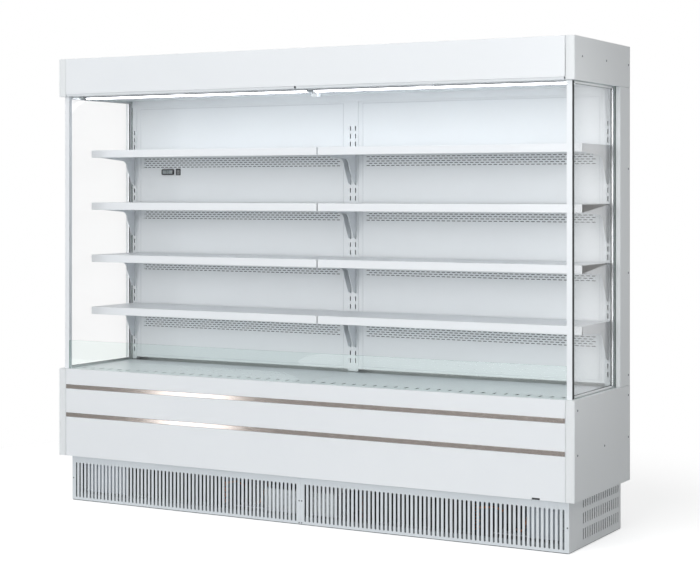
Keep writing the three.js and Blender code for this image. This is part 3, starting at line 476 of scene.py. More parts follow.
def tube(path, radius, square_to=(0.13, 0.31, 0.94), sides=10):
    """Carries a circle along a path. A ring's two directions are the path's
    direction crossed with a fixed one, and that crossed with the path again."""
    along = np.gradient(path, axis=0)
    along /= np.linalg.norm(along, axis=1, keepdims=True)
    across = np.cross(along, square_to)
    across /= np.linalg.norm(across, axis=1, keepdims=True)
    up = np.cross(across, along)
    a = np.linspace(0, 2 * np.pi, sides, endpoint=False)[None, :, None]
    rings = path[:, None] + radius * (np.cos(a) * across[:, None] + np.sin(a) * up[:, None])
    rings = np.concatenate([path[:1, None] + 0 * rings[:1], rings, path[-1:, None] + 0 * rings[-1:]])
    return rings, lattice(len(rings), sides, wrap_cols=True)


def rounded_block(low, high, radius, steps=3):
    """A block whose section is a rounded rectangle. Towards either end the
    section draws in by radius x (1 - sine) while it has radius x (1 - cosine)
    left to go, so that every edge is a quarter round."""
    low, high = np.asarray(low, float), np.asarray(high, float)
    a = np.linspace(0, np.pi / 2, steps + 1)
    size = radius * np.concatenate([np.sin(a), np.sin(a[::-1])])[:, None]
    rise = radius * (1 - np.cos(a))
    level = np.concatenate([low[2] + rise, high[2] - rise[::-1]])
    turn = (a + np.arange(4)[:, None] * np.pi / 2).ravel()
    corner = np.repeat([[1, 1], [0, 1], [0, 0], [1, 0]], steps + 1, axis=0)
    hub = np.where(corner, high[:2] - radius, low[:2] + radius)
    x = hub[:, 0] + size * np.cos(turn)
    y = hub[:, 1] + size * np.sin(turn)
    points = np.stack([x, y, level[:, None] + 0 * x], -1)
    middle = np.array([[(low + high) / 2] * len(turn)])
    bottom, top = middle.copy(), middle.copy()
    bottom[..., 2], top[..., 2] = low[2], high[2]
    points = np.concatenate([bottom, points, top])
    return points, lattice(len(points), len(turn), wrap_cols=True)


def plates(lows, highs):
    """Many plain plates at once, each from its lowest to its highest corner."""
    lows, highs = np.atleast_2d(lows).astype(float), np.atleast_2d(highs).astype(float)
    pick = np.array([[i >> 2 & 1, i >> 1 & 1, i & 1] for i in range(8)], bool)
    points = np.where(pick, highs[:, None], lows[:, None])
    sides = np.array([[0, 1, 3, 2], [4, 6, 7, 5], [0, 4, 5, 1], [2, 3, 7, 6], [0, 2, 6, 4], [1, 5, 7, 3]])
    return points, (sides + 8 * np.arange(len(lows))[:, None, None]).reshape(-1, 4)


print("a rounded block has", len(rounded_block((0, 0, 0), (9, 9, 9), 1)[1]), "quads")

# %% [markdown]
# ## Sheets with slots
# A punched sheet could be cut with a Boolean for every slot, which is slow and
# leaves long thin faces. Here the sheet is tiled: a cell is a ring of quads
# between a slot's outline and the cell's border, plain strips fill the rest,
# and the border of a cell has points where its neighbours have theirs.


# %% The cell round one slot
def slot_ring(cell, slot, turns=2):
    """A cell's ring: (outline of the slot, border of the cell), both going
    round from the right. A quarter of the outline is an arc of turns steps,
    which the border follows up its end and along to a quarter of its side."""
    (w, h), (length, width) = cell, slot
    r, f = width / 2, np.linspace(0, 1, turns + 1)
    inner = np.stack([length / 2 - r + r * np.cos(f * np.pi / 2), r * np.sin(f * np.pi / 2)], 1)
    outer = np.stack([w / 2 - w / 4 * np.clip(2 * f - 1, 0, 1), h / 2 * np.clip(2 * f, 0, 1)], 1)

    def all_round(quarter, height):
        half = np.vstack([quarter, [[0, height]], (quarter * [-1, 1])[::-1]])
        return np.vstack([half, (half[1:-1] * [1, -1])[::-1]])

    return all_round(inner, r), all_round(outer, h / 2)


def band_ring(height, slot, pitch, turns, upright):
    """The ring of one cell of a band, its slot lying level or standing up."""
    if upright:
        return [part[:, ::-1] for part in slot_ring((height, pitch), slot, turns)]
    return slot_ring((pitch, height), slot, turns)


print("a cell's ring has", len(slot_ring((24, 9.6), (17, 2.8))[0]), "quads")

# %% [markdown]
# ### Tiling a flat sheet
# Bands lie above one another. Every strip and border takes points at the same
# stations along the sheet, so that neighbours share them and the tiling has no
# cracks. Points that fall together are then welded, and each face is turned to
# go round counter-clockwise, by the sign of its area.


# %% Tiling a flat sheet
def welded(points, faces, digits):
    """Merges the points that agree to so many digits, and turns each face
    whose area by the cross products of its corners is negative."""
    _, kept, merged = np.unique(np.round(points, digits), axis=0, return_index=True, return_inverse=True)
    points, faces = points[kept], merged.reshape(-1)[faces]
    p, after = points[faces], np.roll(points[faces], -1, 1)
    area = np.sum(p[..., 0] * after[..., 1] - after[..., 0] * p[..., 1], 1)
    return points, np.where(area[:, None] > 0, faces, faces[:, ::-1])


def slotted_flat(left, right, bands, turns=2, upright=False):
    """Tiles a flat sheet from left to right. bands go from the bottom up, each
    (low, high, slot, pitch, first, count), with slot None where it is plain.
    A slot is (length, width), and first is the middle of its row's first one.
    With upright the slots' length runs up the sheet."""
    parts, stations, start = [], [left, right], 0
    for low, high, slot, pitch, first, count in bands:
        if slot:
            ring = band_ring(high - low, slot, pitch, turns, upright)
            top = ring[1][np.isclose(ring[1][:, 1], (high - low) / 2), 0]
            stations += (first + pitch * np.arange(count)[:, None] + top).ravel().tolist()
    stations = np.unique(np.round(stations, 4))
    for low, high, slot, pitch, first, count in bands:
        spans = [stations]
        if slot:
            ring = band_ring(high - low, slot, pitch, turns, upright)
            centres = np.stack([first + pitch * np.arange(count), np.full(count, (low + high) / 2)], 1)
            cells = centres[:, None, None] + np.stack(ring)[None]
            quads = lattice(2, len(ring[0]), wrap_cols=True)
            offsets = 2 * len(ring[0]) * np.arange(count)[:, None, None]
            parts.append((cells.reshape(-1, 2), (quads + offsets).reshape(-1, 4)))
            edge = first - pitch / 2, first + pitch * (count - 0.5)
            spans = [stations[stations <= edge[0] + 1e-3], stations[stations >= edge[1] - 1e-3]]
        for span in spans:
            if len(span) > 1:
                u, v = np.meshgrid(span, [low, high])
                parts.append((np.stack([u, v], -1).reshape(-1, 2), lattice(2, len(span))))
    points, faces = [], []
    for part_points, part_faces in parts:
        points.append(part_points)
        faces.append(part_faces + start)
        start += len(part_points)
    return welded(np.vstack(points), np.vstack(faces), 3)


print("tiling ready")

# %% [markdown]
# ### Thickness
# The flat sheet gets its thickness along every edge that only one face uses:
# its outline, and the rim of each slot.


# %% Thickness of a flat tiling
def thickened(points, faces, origin, u_axis, v_axis, thickness):
    """Lays a flat tiling on two directions in space and gives it a thickness
    along their cross product: faces on both sides, and a wall along every
    directed edge whose reverse no face has."""
    u_axis, v_axis = np.asarray(u_axis, float), np.asarray(v_axis, float)
    front = np.asarray(origin) + points[:, :1] * u_axis + points[:, 1:] * v_axis
    back = front - thickness * np.cross(u_axis, v_axis)
    n = len(points)
    start, end = faces.ravel(), np.roll(faces, -1, axis=1).ravel()
    rim = ~np.isin(start * n + end, end * n + start)
    walls = np.stack([end[rim], start[rim], start[rim] + n, end[rim] + n], 1)
    return np.vstack([front, back]), np.vstack([faces, faces[:, ::-1] + n, walls])


print("thickness ready")

# %% [markdown]
# ## Cabinet panels
# The shell is folded sheet steel over foam. A sharp edge never catches light,
# so each panel is a copy with its edges rounded by half a millimetre to 2 mm,
# as a fold in thin sheet is. That draws the fine bright and dark lines at
# every joint.

# %% Panels
folded_copy("front_skin", "front_panel", WHITE_COAT, 0.45)
folded_copy("canopy_fascia", "canopy_front_panel", WHITE_COAT, 0.45)
folded_copy("roof_skin", "canopy_roof", WHITE_COAT, 1.0)
folded_copy("rear_wall", "back_wall", LINER_COAT, 1.2)
folded_copy("tub_shell", "insulated_tub", LINER_COAT, 1.0)
folded_copy("ceiling_sheet", "ceiling_liner", LINER_COAT, 0.6)
# The ends' panels take the greyer copy of the white coat, which is painted shade.
for side in ("left", "right"):
    folded_copy(f"lower_end_panel_{side}", f"lower_side_panel_{side}", SHADED_END_COAT, 0.6)
    folded_copy(f"rear_column_cover_{side}", f"rear_column_{side}", SHADED_END_COAT, 1.8)
    folded_copy(f"canopy_end_panel_{side}", f"canopy_side_{side}", SHADED_END_COAT, 0.6)
    folded_copy(f"glass_front_trim_{side}", f"side_glass_trim_{side}", WHITE_COAT, 1.0)
    folded_copy(f"display_deck_{side}", f"bottom_deck_{side}", WHITE_COAT, 0.8)

# %% [markdown]
# ## Joint strips
# The rear wall and the roof are too wide for one sheet, so flat strips with
# sloped edges cover their joints. A strip's section is a low trapezium carried
# up the wall or back over the roof.

# %% Joint strips
def carried(section, start, end, axis=0):
    """Carries a closed section straight along an axis, with its ends closed on
    their middles. The section's two columns are the other axes in order."""
    section = np.asarray(section, float)
    others = [i for i in range(3) if i != axis]
    rings = np.zeros((4, len(section), 3))
    rings[1:3, :, others] = section
    rings[0][:, others] = rings[3][:, others] = section.mean(0)
    rings[:2, :, axis], rings[2:, :, axis] = start, end
    return rings, lattice(4, len(section), wrap_cols=True)


def strip_section(x, face):
    """A strip 48 mm wide that stands 0.9 mm off a face and is let 0.5 mm into it."""
    return [(x - 24, face - 0.5), (x - 22, face + 0.9), (x + 22, face + 0.9), (x + 24, face - 0.5)]


REAR_JOINTS = (-590.0, 0.0, 590.0)
rear = corners("back_wall")[1][1]
strips = [carried(strip_section(x, rear), 206, 1900, axis=2) for x in REAR_JOINTS]
piece("rear_joint_strips", strips, LINER_COAT)
roof_low, roof_high = corners("canopy_roof")
strips = [carried(strip_section(x, roof_high[2]), roof_low[1] + 2, roof_high[1] - 2, axis=1)
          for x in REAR_JOINTS]
piece("roof_joint_strips", strips, WHITE_COAT)

# %% [markdown]
# ## Trim bars
# Two flat strips of brushed stainless steel run across the front. Their edges
# are ground, so the bevel is small.

# %% Trim bars
for level in ("upper", "lower"):
    folded_copy(f"stainless_strip_{level}", f"trim_bar_{level}", STEEL_TRIM_AND_REFLECTION, 0.4)

# %% [markdown]
# ## Base grilles
# Each half of the base front is one sheet with 60 upright slots with round
# ends, 8 mm wide and 19.2 mm apart. The ends of the base have three rows of
# shorter vents. All of them come from the tiled sheet above.

# %% Upright slots
def plain(low, high):
    """A band without slots."""
    return (low, high, None, 0, 0, 0)


def upright_bands(bottom, top, rows, margin, pitch, first, count):
    """Bands of a sheet from bottom to top with rows of upright slots 8 mm wide.
    A row is (low, high), and margin is left above and below its slots."""
    bands, level = [], bottom
    for low, high in rows:
        bands.append(plain(level, low - margin))
        bands.append((low - margin, high + margin, (high - low, 8), pitch, first, count))
        level = high + margin
    return [*bands, plain(level, top)]


print("an upright row takes", len(upright_bands(0, 10, [(2, 8)], 1, 12, 0, 1)), "bands")

# %% Base grilles
GRILLE_SLOTS, GRILLE_PITCH = 60, 19.2
for side in ("left", "right"):
    (x0, y0, z0), (x1, y1, z1) = corners(f"base_grille_{side}")
    first = (x0 + x1) / 2 - (GRILLE_SLOTS - 1) / 2 * GRILLE_PITCH
    bands = upright_bands(z0, z1, [(13.5, 167.0)], 6.0, GRILLE_PITCH, first, GRILLE_SLOTS)
    flat = slotted_flat(x0, x1, bands, turns=4, upright=True)
    sheet = thickened(*flat, (0, y0, 0), (1, 0, 0), (0, 0, 1), y1 - y0)
    grille = piece(f"base_louvre_{side}", [sheet], GRILLE_GREY_AND_SHADE)
    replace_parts(grille, f"base_grille_{side}")

# %% Base end vents
VENT_ROWS = [(29, 73.5), (90.5, 135), (152, 196.5)]
VENTS, VENT_PITCH, VENT_START = 17, 24, -111.0  # the first one's middle, from the case's middle
for side, sign in (("left", -1), ("right", 1)):
    (x0, y0, z0), (x1, y1, z1) = corners(f"base_side_panel_{side}")
    first = VENT_START if sign > 0 else -(VENT_START + (VENTS - 1) * VENT_PITCH)
    bands = upright_bands(z0, z1, VENT_ROWS, 3, VENT_PITCH, first, VENTS)
    edges = (y0, y1) if sign > 0 else (-y1, -y0)
    flat = slotted_flat(*edges, bands, turns=4, upright=True)
    face = x1 if sign > 0 else x0
    sheet = thickened(*flat, (face, 0, 0), (0, sign, 0), (0, 0, 1), x1 - x0)
    vents = piece(f"base_end_vents_{side}", [sheet], SHADED_END_COAT)
    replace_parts(vents, f"base_side_panel_{side}")

# %% [markdown]
# ## Back panels
# Cold air reaches the shelves through bands of small slots in the back panels,
# five staggered rows under each shelf. A slot is 17 x 2.8 mm, the rows are
# 9.6 mm apart, and slots in a row are 24 mm apart. The panel is a shallow
# tray: its side edges turn back 12 mm to the wall. Behind it the air duct is
# lined with embossed foam drawn dark as painted shade for the inside of the
# duct, so the slots read as dark dashes.

# %% Back panels
LOWEST_ROWS = (746.0, 1010.0, 1246.0, 1482.0)  # heights, one under each shelf
AIR_SLOT, ROW, REACH, AIR_SLOTS = (17, 2.8), 9.6, 24.0, 44  # size, the two pitches, slots in a row
SHEET = 1.5


def air_slot_bands(first, bottom, top):
    """Five staggered rows of slots above each of the lowest ones. An odd row
    starts half a pitch along and has one slot less."""
    bands, level = [], bottom
    for lowest in LOWEST_ROWS:
        bands.append(plain(level, lowest - ROW / 2))
        for row in range(5):
            middle, odd = lowest + row * ROW, row % 2
            bands.append((middle - ROW / 2, middle + ROW / 2, AIR_SLOT, REACH,
                          first + odd * REACH / 2, AIR_SLOTS - odd))
        level = lowest + 4.5 * ROW
    return [*bands, plain(level, top)]


for side in ("left", "right"):
    (x0, y0, z0), (x1, y1, z1) = corners(f"back_panel_{side}")
    flat = slotted_flat(x0, x1, air_slot_bands((x0 + x1) / 2 - (AIR_SLOTS - 1) / 2 * REACH, z0, z1))
    front = thickened(*flat, (0, y0, 0), (1, 0, 0), (0, 0, 1), SHEET)
    returns = plates([[x0, y0 + SHEET, z0], [x1 - SHEET, y0 + SHEET, z0]],
                     [[x0 + SHEET, y1, z1], [x1, y1, z1]])
    panel = piece(f"air_panel_{side}", [front, returns], LINER_COAT)
    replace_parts(panel, f"back_panel_{side}")

# %% Duct linings, dark as painted shade
LINING_GRID, RELIEF, RELIEF_PITCH = 90, 0.9, 50
for side in ("left", "right"):
    (x0, _, z0), (x1, _, z1) = corners(f"back_panel_{side}")
    across, up = [np.linspace(a + 8, b - 8, LINING_GRID) for a, b in ((x0, x1), (z0, z1))]
    u, v = np.meshgrid(across, up, indexing="ij")
    relief = RELIEF * np.sin(u * 2 * np.pi / RELIEF_PITCH) * np.sin(v * 2 * np.pi / RELIEF_PITCH)
    foam = np.stack([u, corners("back_wall")[0][1] - 5.5 + relief, v], -1)
    quads = lattice(LINING_GRID, LINING_GRID)
    given_wall(piece(f"duct_shade_lining_{side}", [(foam, quads)], DUCT_FOAM_SHADE, outward=False), 3.0)

# %% [markdown]
# ## Shelves
# Eight trays hang on cantilever brackets. Their front rail is a plain folded
# face 33 mm high, so the rounded copy is all they need.

# %% Shelves
for side in ("left", "right"):
    for level in (1, 2, 3, 4):
        folded_copy(f"shelf_tray_{level}_{side}", f"shelf_{level}_{side}", WHITE_COAT, 1.4)

# %% [markdown]
# ## Insulated side glass
# Each end is a sealed unit of two panes, 4 mm each, held 11 mm apart by an
# aluminium spacer that runs round it, with a bead of black butyl in the corner
# beside the inner pane. The front trim laps the unit, and a black rubber seal
# covers the trim's outer side: it draws the fine black upright in the picture.
# Where the unit meets the rear column, a thin gasket closes each face.

# %% Glass panes
def pane(name, low, high, axis, finish, arris=0.6):
    """One pane with ground edges. Faces that look across the pane's thickness
    keep the clear finish, and the others are its edge."""
    made = piece(name, [rounded_block(low, high, arris, 2)], finish)
    normals = np.zeros(3 * len(made.data.polygons))
    made.data.polygons.foreach_get("normal", normals)
    edge = np.abs(normals.reshape(-1, 3)[:, axis]) < 0.9
    made.data.materials.append(GLASS_EDGE)
    made.data.polygons.foreach_set("material_index", edge.astype(np.int32))
    return made


def frame_bars(low, high, insets, bar, axis):
    """Four bars round the inside of a box, each pair with its own inset from
    the edges. axis is the direction the frame looks along, which they fill."""
    low, high = np.array(low, float), np.array(high, float)
    u, v = [i for i in range(3) if i != axis]
    low[[u, v]] += insets
    high[[u, v]] -= insets
    lows, highs = np.tile(low, (4, 1)), np.tile(high, (4, 1))
    highs[0, u] = low[u] + bar
    lows[1, u] = high[u] - bar
    lows[2:, u], highs[2:, u] = low[u] + bar, high[u] - bar
    highs[2, v] = low[v] + bar
    lows[3, v] = high[v] - bar
    return plates(lows, highs)


PANE, SPACER, BUTYL = 4.0, 7.0, 4.0
SPACER_GAP = 0.2  # film of sealant between the spacer and each pane
GASKET = 3.0  # how far each rear gasket laps the glass
EDGES = np.array([9.0, 2.0])  # from the unit's edge to the spacer, along y and z
for side in ("left", "right"):
    low, high = corners(f"side_glass_{side}")
    split = [low[0] + PANE, high[0] - PANE]
    inner = pane(f"side_pane_a_{side}", low, [split[0], *high[1:]], 0, SIDE_GLASS)
    pane(f"side_pane_b_{side}", [split[1], *low[1:]], high, 0, SIDE_GLASS)
    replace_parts(inner, f"side_glass_{side}")
    gap = [split[0] + SPACER_GAP, split[1] - SPACER_GAP]
    spacer = frame_bars([gap[0], *low[1:]], [gap[1], *high[1:]], EDGES, SPACER, 0)
    piece(f"glass_spacer_{side}", [spacer], SPACER_METAL)
    bead = gap[1] - BUTYL if side == "left" else gap[0]
    butyl = frame_bars([bead, *low[1:]], [bead + BUTYL, *high[1:]], EDGES + SPACER, 1.0, 0)
    piece(f"glass_butyl_{side}", [butyl], RUBBER)
    gaskets = [rounded_block([x, high[1] - GASKET, low[2]], [x + 0.8, high[1], high[2]], 0.3, 2)
               for x in (low[0] - 0.8, high[0])]
    piece(f"glass_rear_gaskets_{side}", gaskets, RUBBER)
    low, high = corners(f"side_glass_trim_{side}")
    outer = high[0] if side == "right" else low[0]
    seal_low = (outer - 0.6, low[1] + 0.8, low[2] + 1)
    seal_high = (outer + 0.6, high[1] - 0.2, high[2] - 1)
    seal = rounded_block(seal_low, seal_high, 0.4, 2)
    piece(f"glass_edge_seal_{side}", [seal], RUBBER)

# %% [markdown]
# ## Front riser glass
# A low pane stands behind the front skin and keeps the cold air in. Its top
# edge is ground, and reads as a pale green line.

# %% Riser glass
low, high = corners("front_glass")
riser = pane("riser_pane", low, high, 1, RISER_GLASS, 1.0)
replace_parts(riser, "front_glass")

# %% [markdown]
# ## Lamps under the canopy
# Each lamp is an aluminium channel with a milky cover clipped into it. The
# cover's section is half an ellipse, carried along the lamp, and the channel
# and its two caps stand behind it.

# %% Lamps under the canopy
CAP = 9  # length of the cap at either end
for side in ("left", "right"):
    low, high = corners(f"led_lamp_{side}")
    middle, half, shoulder = (low[1] + high[1]) / 2, (high[1] - low[1]) / 2, high[2] - 3.0
    a = np.linspace(np.pi, 2 * np.pi, 17)
    lens = np.stack([middle + (half - 1) * np.cos(a), shoulder + (shoulder - low[2]) * np.sin(a)], 1)
    lens = carried(lens, low[0] + CAP, high[0] - CAP)
    cover = piece(f"lamp_cover_{side}", [lens], LAMP_COVER)
    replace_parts(cover, f"led_lamp_{side}")
    channel = rounded_block([low[0] + 4, low[1], shoulder], [high[0] - 4, high[1], high[2]], 0.8, 2)
    piece(f"lamp_channel_{side}", [channel], ALUMINIUM)
    ends = [rounded_block([x, low[1], low[2] - 0.3], [x + CAP, high[1], high[2]], 1.2, 2)
            for x in (low[0], high[0] - CAP)]
    piece(f"lamp_caps_{side}", ends, WHITE_PVC)

# %% [markdown]
# ## Honeycomb air outlet
# The cold air curtain leaves through a plastic honeycomb, which keeps it from
# swirling. It is tiled like the slotted sheets: a cell is a ring of six quads
# between a hexagon and a smaller one, and the rim walls give it its depth.

# %% Honeycomb
ROOT3 = 1.73205


def honeycomb(width, depth, across, wall):
    """Hexagons across wide from flat to flat, in rows root 3 / 2 x across apart,
    and every other row half a cell along."""
    a = np.radians(30 + 60 * np.arange(6))
    six = np.stack([np.cos(a), np.sin(a)], 1)
    rows = int((depth - across * 2 / ROOT3) // (across * ROOT3 / 2)) + 1
    cols = int(width // across) - 1
    i, j = np.meshgrid(np.arange(rows), np.arange(cols), indexing="ij")
    x = (j + 0.5 * (i % 2)) * across
    y = i * across * ROOT3 / 2
    centres = np.stack([x - (x.min() + x.max()) / 2, y - y.max() / 2], -1).reshape(-1, 1, 1, 2)
    rings = np.stack([six * (across - wall) / ROOT3, six * across / ROOT3])
    quads = lattice(2, 6, wrap_cols=True) + 12 * np.arange(len(centres))[:, None, None]
    return welded((centres + rings).reshape(-1, 2), quads.reshape(-1, 4), 2)


CELL, CELL_WALL, CELL_DEPTH = 11.0, 1.1, 14
low, high = corners("air_outlet_honeycomb")
cell_top = low[2] + CELL_DEPTH + 2
flat = honeycomb(high[0] - low[0] - 6, high[1] - low[1] - 6, CELL, CELL_WALL)
grid = thickened(*flat, (0, (low[1] + high[1]) / 2, low[2] + 1), (1, 0, 0), (0, -1, 0), CELL_DEPTH)
rails = plates([[low[0], low[1], low[2]], [low[0], high[1] - 2.5, low[2]]],
               [[high[0], low[1] + 2.5, cell_top], [high[0], high[1], cell_top]])
outlet = piece("outlet_honeycomb", [grid], GRID_PLASTIC)
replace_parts(outlet, "air_outlet_honeycomb")
piece("outlet_rails", [rails], ALUMINIUM)

# %% [markdown]
# ### Outlet baffle
# A folded sheet in front of the honeycomb turns the air down. Its path is the
# line of its folds seen from the side, and the sheet is carried along X.


# %% Outlet baffle
def folded_sheet(path, thickness, start, end):
    """A sheet folded along a path of (y, z) points and carried along X. At each
    fold the two faces stand off the path along the sum of the neighbouring
    normals, over 1 plus their dot product, so the thickness stays even."""
    path = np.array(path, float)
    along = np.diff(path, axis=0)
    normal = np.stack([-along[:, 1], along[:, 0]], 1) / np.linalg.norm(along, axis=1, keepdims=True)
    before, after = np.vstack([normal[:1], normal]), np.vstack([normal, normal[-1:]])
    off = (before + after) / (1 + np.sum(before * after, 1, keepdims=True)) * thickness / 2
    faces = np.stack([path + off, path + off, path - off, path - off], 1)
    x = np.broadcast_to(np.array([start, end, end, start])[None, :, None], (len(path), 4, 1))
    caps = [[0, 1, 2, 3], [4 * len(path) - k for k in (1, 2, 3, 4)]]
    return np.concatenate([x, faces], -1), np.vstack([lattice(len(path), 4, wrap_cols=True), caps])


front_line, back_line, bottom = low[1] + 1.5, low[1] + 27.5, low[2]
path = [(front_line, bottom), (front_line, bottom + 22),
        (back_line, bottom + 36), (back_line, high[2] - 0.5)]
piece("outlet_baffle", [folded_sheet(path, 1.5, low[0] + 1, high[0] - 1)], LINER_COAT)

# %% [markdown]
# ## Screws
# The cabinet is held by small cross-head screws. A head is a height over a
# round: a flat dome, less a cross-shaped recess whose two arms are 1 mm wide.
# The grid is 9 rings of 24 points, and one call makes a whole row of screws.

# %% Screws
def screw_heads(name, places, outward, radius, finish):
    """Pan heads at places, facing outward. Height is 0.34 x radius x the square
    root of 1 - (r / radius)^4, less the cross's depth inside its arms."""
    angles = np.linspace(0, 2 * np.pi, 24, endpoint=False)
    r, a = np.meshgrid(np.linspace(0, 1, 9) * radius, angles, indexing="ij")
    x, y = r * np.cos(a), r * np.sin(a)
    height = 0.34 * radius * np.sqrt(np.clip(1 - (r / radius) ** 4, 0, 1))
    arm = np.minimum(np.abs(x), np.abs(y)) < 0.16 * radius
    height = height - 0.24 * radius * (arm & (r < 0.62 * radius))
    w = np.array(outward, float)
    u = np.cross(w, (0.0, 0.0, 1.0)) if abs(w[2]) < 0.5 else np.array([1.0, 0.0, 0.0])
    head = x[..., None] * u + y[..., None] * np.cross(w, u) + height[..., None] * w
    heads = np.asarray(places, float)[:, None, None] + head[None]
    quads = lattice(9, 24, wrap_cols=True)[:, ::-1] + 9 * 24 * np.arange(len(places))[:, None, None]
    return piece(name, [(heads, quads.reshape(-1, 4))], finish, outward=False)


# Seen in the photograph at the right end, and taken over at the left one.
END_SCREWS = [(-225, 1881), (33, 1881), (286, 1881), (284, 1461), (284, 1041), (284, 628),
              (-274, 546), (-274, 377), (12, 378), (284, 547), (284, 378)]
GRILLE_SCREWS = [(1172, 98), (6, 98), (6, 8)]
grille_face = corners("base_grille_right")[0][1]
for side, sign in (("left", -1), ("right", 1)):
    end_face = corners(f"canopy_side_{side}")[(sign + 1) // 2][0]
    places = [(end_face, y, z) for y, z in END_SCREWS]
    screw_heads(f"end_screws_{side}", places, (sign, 0, 0), 4.5, SCREW_METAL_AND_SHADE)
    places = [(sign * x, grille_face, z) for x, z in GRILLE_SCREWS]
    screw_heads(f"grille_screws_{side}", places, (0, -1, 0), 3.2, SCREW_METAL_AND_SHADE)

# %% Screws at the rear and on the roof
levels = np.arange(240, 1900, 205.0)
between = [x for x in np.arange(-1062, 1063, 118.0) if x not in REAR_JOINTS]
rear_places = [(x + lean, rear + 0.7, z) for x in REAR_JOINTS for lean in (-15, 15) for z in levels]
rear_places += [(x, rear - 0.2, z) for x in (-1160, 1160) for z in levels]
rear_places += [(x, rear - 0.2, z) for x in between for z in (220, 1888)]
screw_heads("rear_wall_screws", rear_places, (0, 1, 0), 3.6, SCREW_METAL_AND_SHADE)
base_places = [(x, rear - 0.2, z) for x in np.arange(-1156, 1157, 136.0) for z in (16, 186)]
screw_heads("base_rear_screws", base_places, (0, 1, 0), 3.6, SCREW_METAL_AND_SHADE)
depths = np.linspace(roof_low[1] + 30, roof_high[1] - 30, 5)
roof_places = [(x + lean, y, roof_high[2] + 0.7)
               for x in REAR_JOINTS for lean in (-15, 15) for y in depths]
screw_heads("roof_screws", roof_places, (0, 0, 1), 3.6, SCREW_METAL_AND_SHADE)

# %% [markdown]
# ## Condensing units
# Behind each grille half stand a finned coil, a fan in a shroud and a sealed
# compressor. A coil is a stack of thin aluminium fins on copper tubes whose
# return bends show at its ends. Real fins stand 2 mm apart. Here they are
# 4 mm apart, so that they don't blur into one grey.

# %% Plate with a round hole
def holed_plate(low, high, centre, radius, sides=40):
    """An upright plate that faces along Y, with a round hole: a ring of quads
    from the circle to the rectangle's border, met at the same angles."""
    a = np.linspace(0, 2 * np.pi, sides, endpoint=False) + np.pi / 4
    ray = np.stack([np.cos(a), np.sin(a)], 1)
    lo, hi = np.array([low[0], low[2]]) - centre, np.array([high[0], high[2]]) - centre
    reach = np.abs(np.where(ray > 0, hi, lo)) / np.maximum(np.abs(ray), 1e-9)
    border = ray * reach.min(1, keepdims=True)
    corner = np.stack([np.where(ray[:, 0] > 0, hi[0], lo[0]), np.where(ray[:, 1] > 0, hi[1], lo[1])], 1)
    near = np.abs(a % (np.pi / 2) - np.pi / 4) < 1e-6
    border = np.where(near[:, None], corner, border)
    flat = np.concatenate([ray * radius, border]) + centre
    quads = lattice(2, sides, wrap_cols=True)[:, ::-1]
    return thickened(flat, quads, (0, low[1], 0), (1, 0, 0), (0, 0, 1), high[1] - low[1])


print("holed plate ready")

# %% [markdown]
# ### Fan wheels
# An axial wheel is moulded in one piece. A blade twists from hub to tip, is
# swept in the direction it turns and bows a little, so it is one grid of
# points bent by three short terms, and all blades are made in one call.


# %% Fan wheels
def fan_wheel(name, centre, radius, hub, depth, blades, cad_node):
    """Blades as grids over share of radius s and share of chord c. A point's
    angle is c x (34 - 8 s) + 12 s squared degrees. Its height is c x 0.42 of
    the depth, plus s x (1 - c squared) x 8% of the radius as camber."""
    s, c, k = np.meshgrid(np.linspace(0, 1, 9), np.linspace(-1, 1, 9), np.arange(blades), indexing="ij")
    r = hub * 0.9 + s * (radius - hub * 0.9)
    a = np.radians(c * (34 - 8 * s) + 12 * s**2 + 360 / blades * k)
    y = c * depth * 0.42 + 0.08 * radius * (1 - c**2) * s
    points = np.stack([r * np.cos(a), y, r * np.sin(a)], -1) + centre
    points = np.moveaxis(points, 2, 0)
    quads = lattice(9, 9) + 81 * np.arange(blades)[:, None, None]
    wheel = piece(name, [(points, quads.reshape(-1, 4))], FAN_PLASTIC, cad_node)
    given_wall(wheel, 1.8)
    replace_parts(wheel, cad_node)
    dome = np.array([(0, -1), (0.6, -0.98), (0.9, -0.8), (1, -0.5), (1, 1), (0, 1)]) * [hub, depth / 2]
    piece(name + "_hub", [turned(dome, centre, axis=1)], FAN_PLASTIC, cad_node)


print("fan wheel ready")

# %% [markdown]
# ### Finned coil and its housing
# The coil is many thin plates at once, tubes carried through them, and half
# rings that join one tube to the next. A shroud with a round hole stands
# behind it, and a strap holds the motor in the middle of the hole.


# %% Return bends
def return_bends(x, y, levels, gap, radius, outward):
    """Half rings of tube at a coil's end: each goes round a half circle of
    diameter gap from one tube to the next one up."""
    a = np.linspace(-np.pi / 2, np.pi / 2, 9)
    parts = []
    for z in levels:
        path = np.stack([x + outward * (3 + gap / 2 * np.cos(a)), y + 0 * a, z + gap / 2 * np.sin(a)], 1)
        path = np.vstack([[[x, y, z - gap / 2]], path, [[x, y, z + gap / 2]]])
        parts.append(tube(path, radius, (0, 1, 0), 8))
    return parts


print("return bends ready")

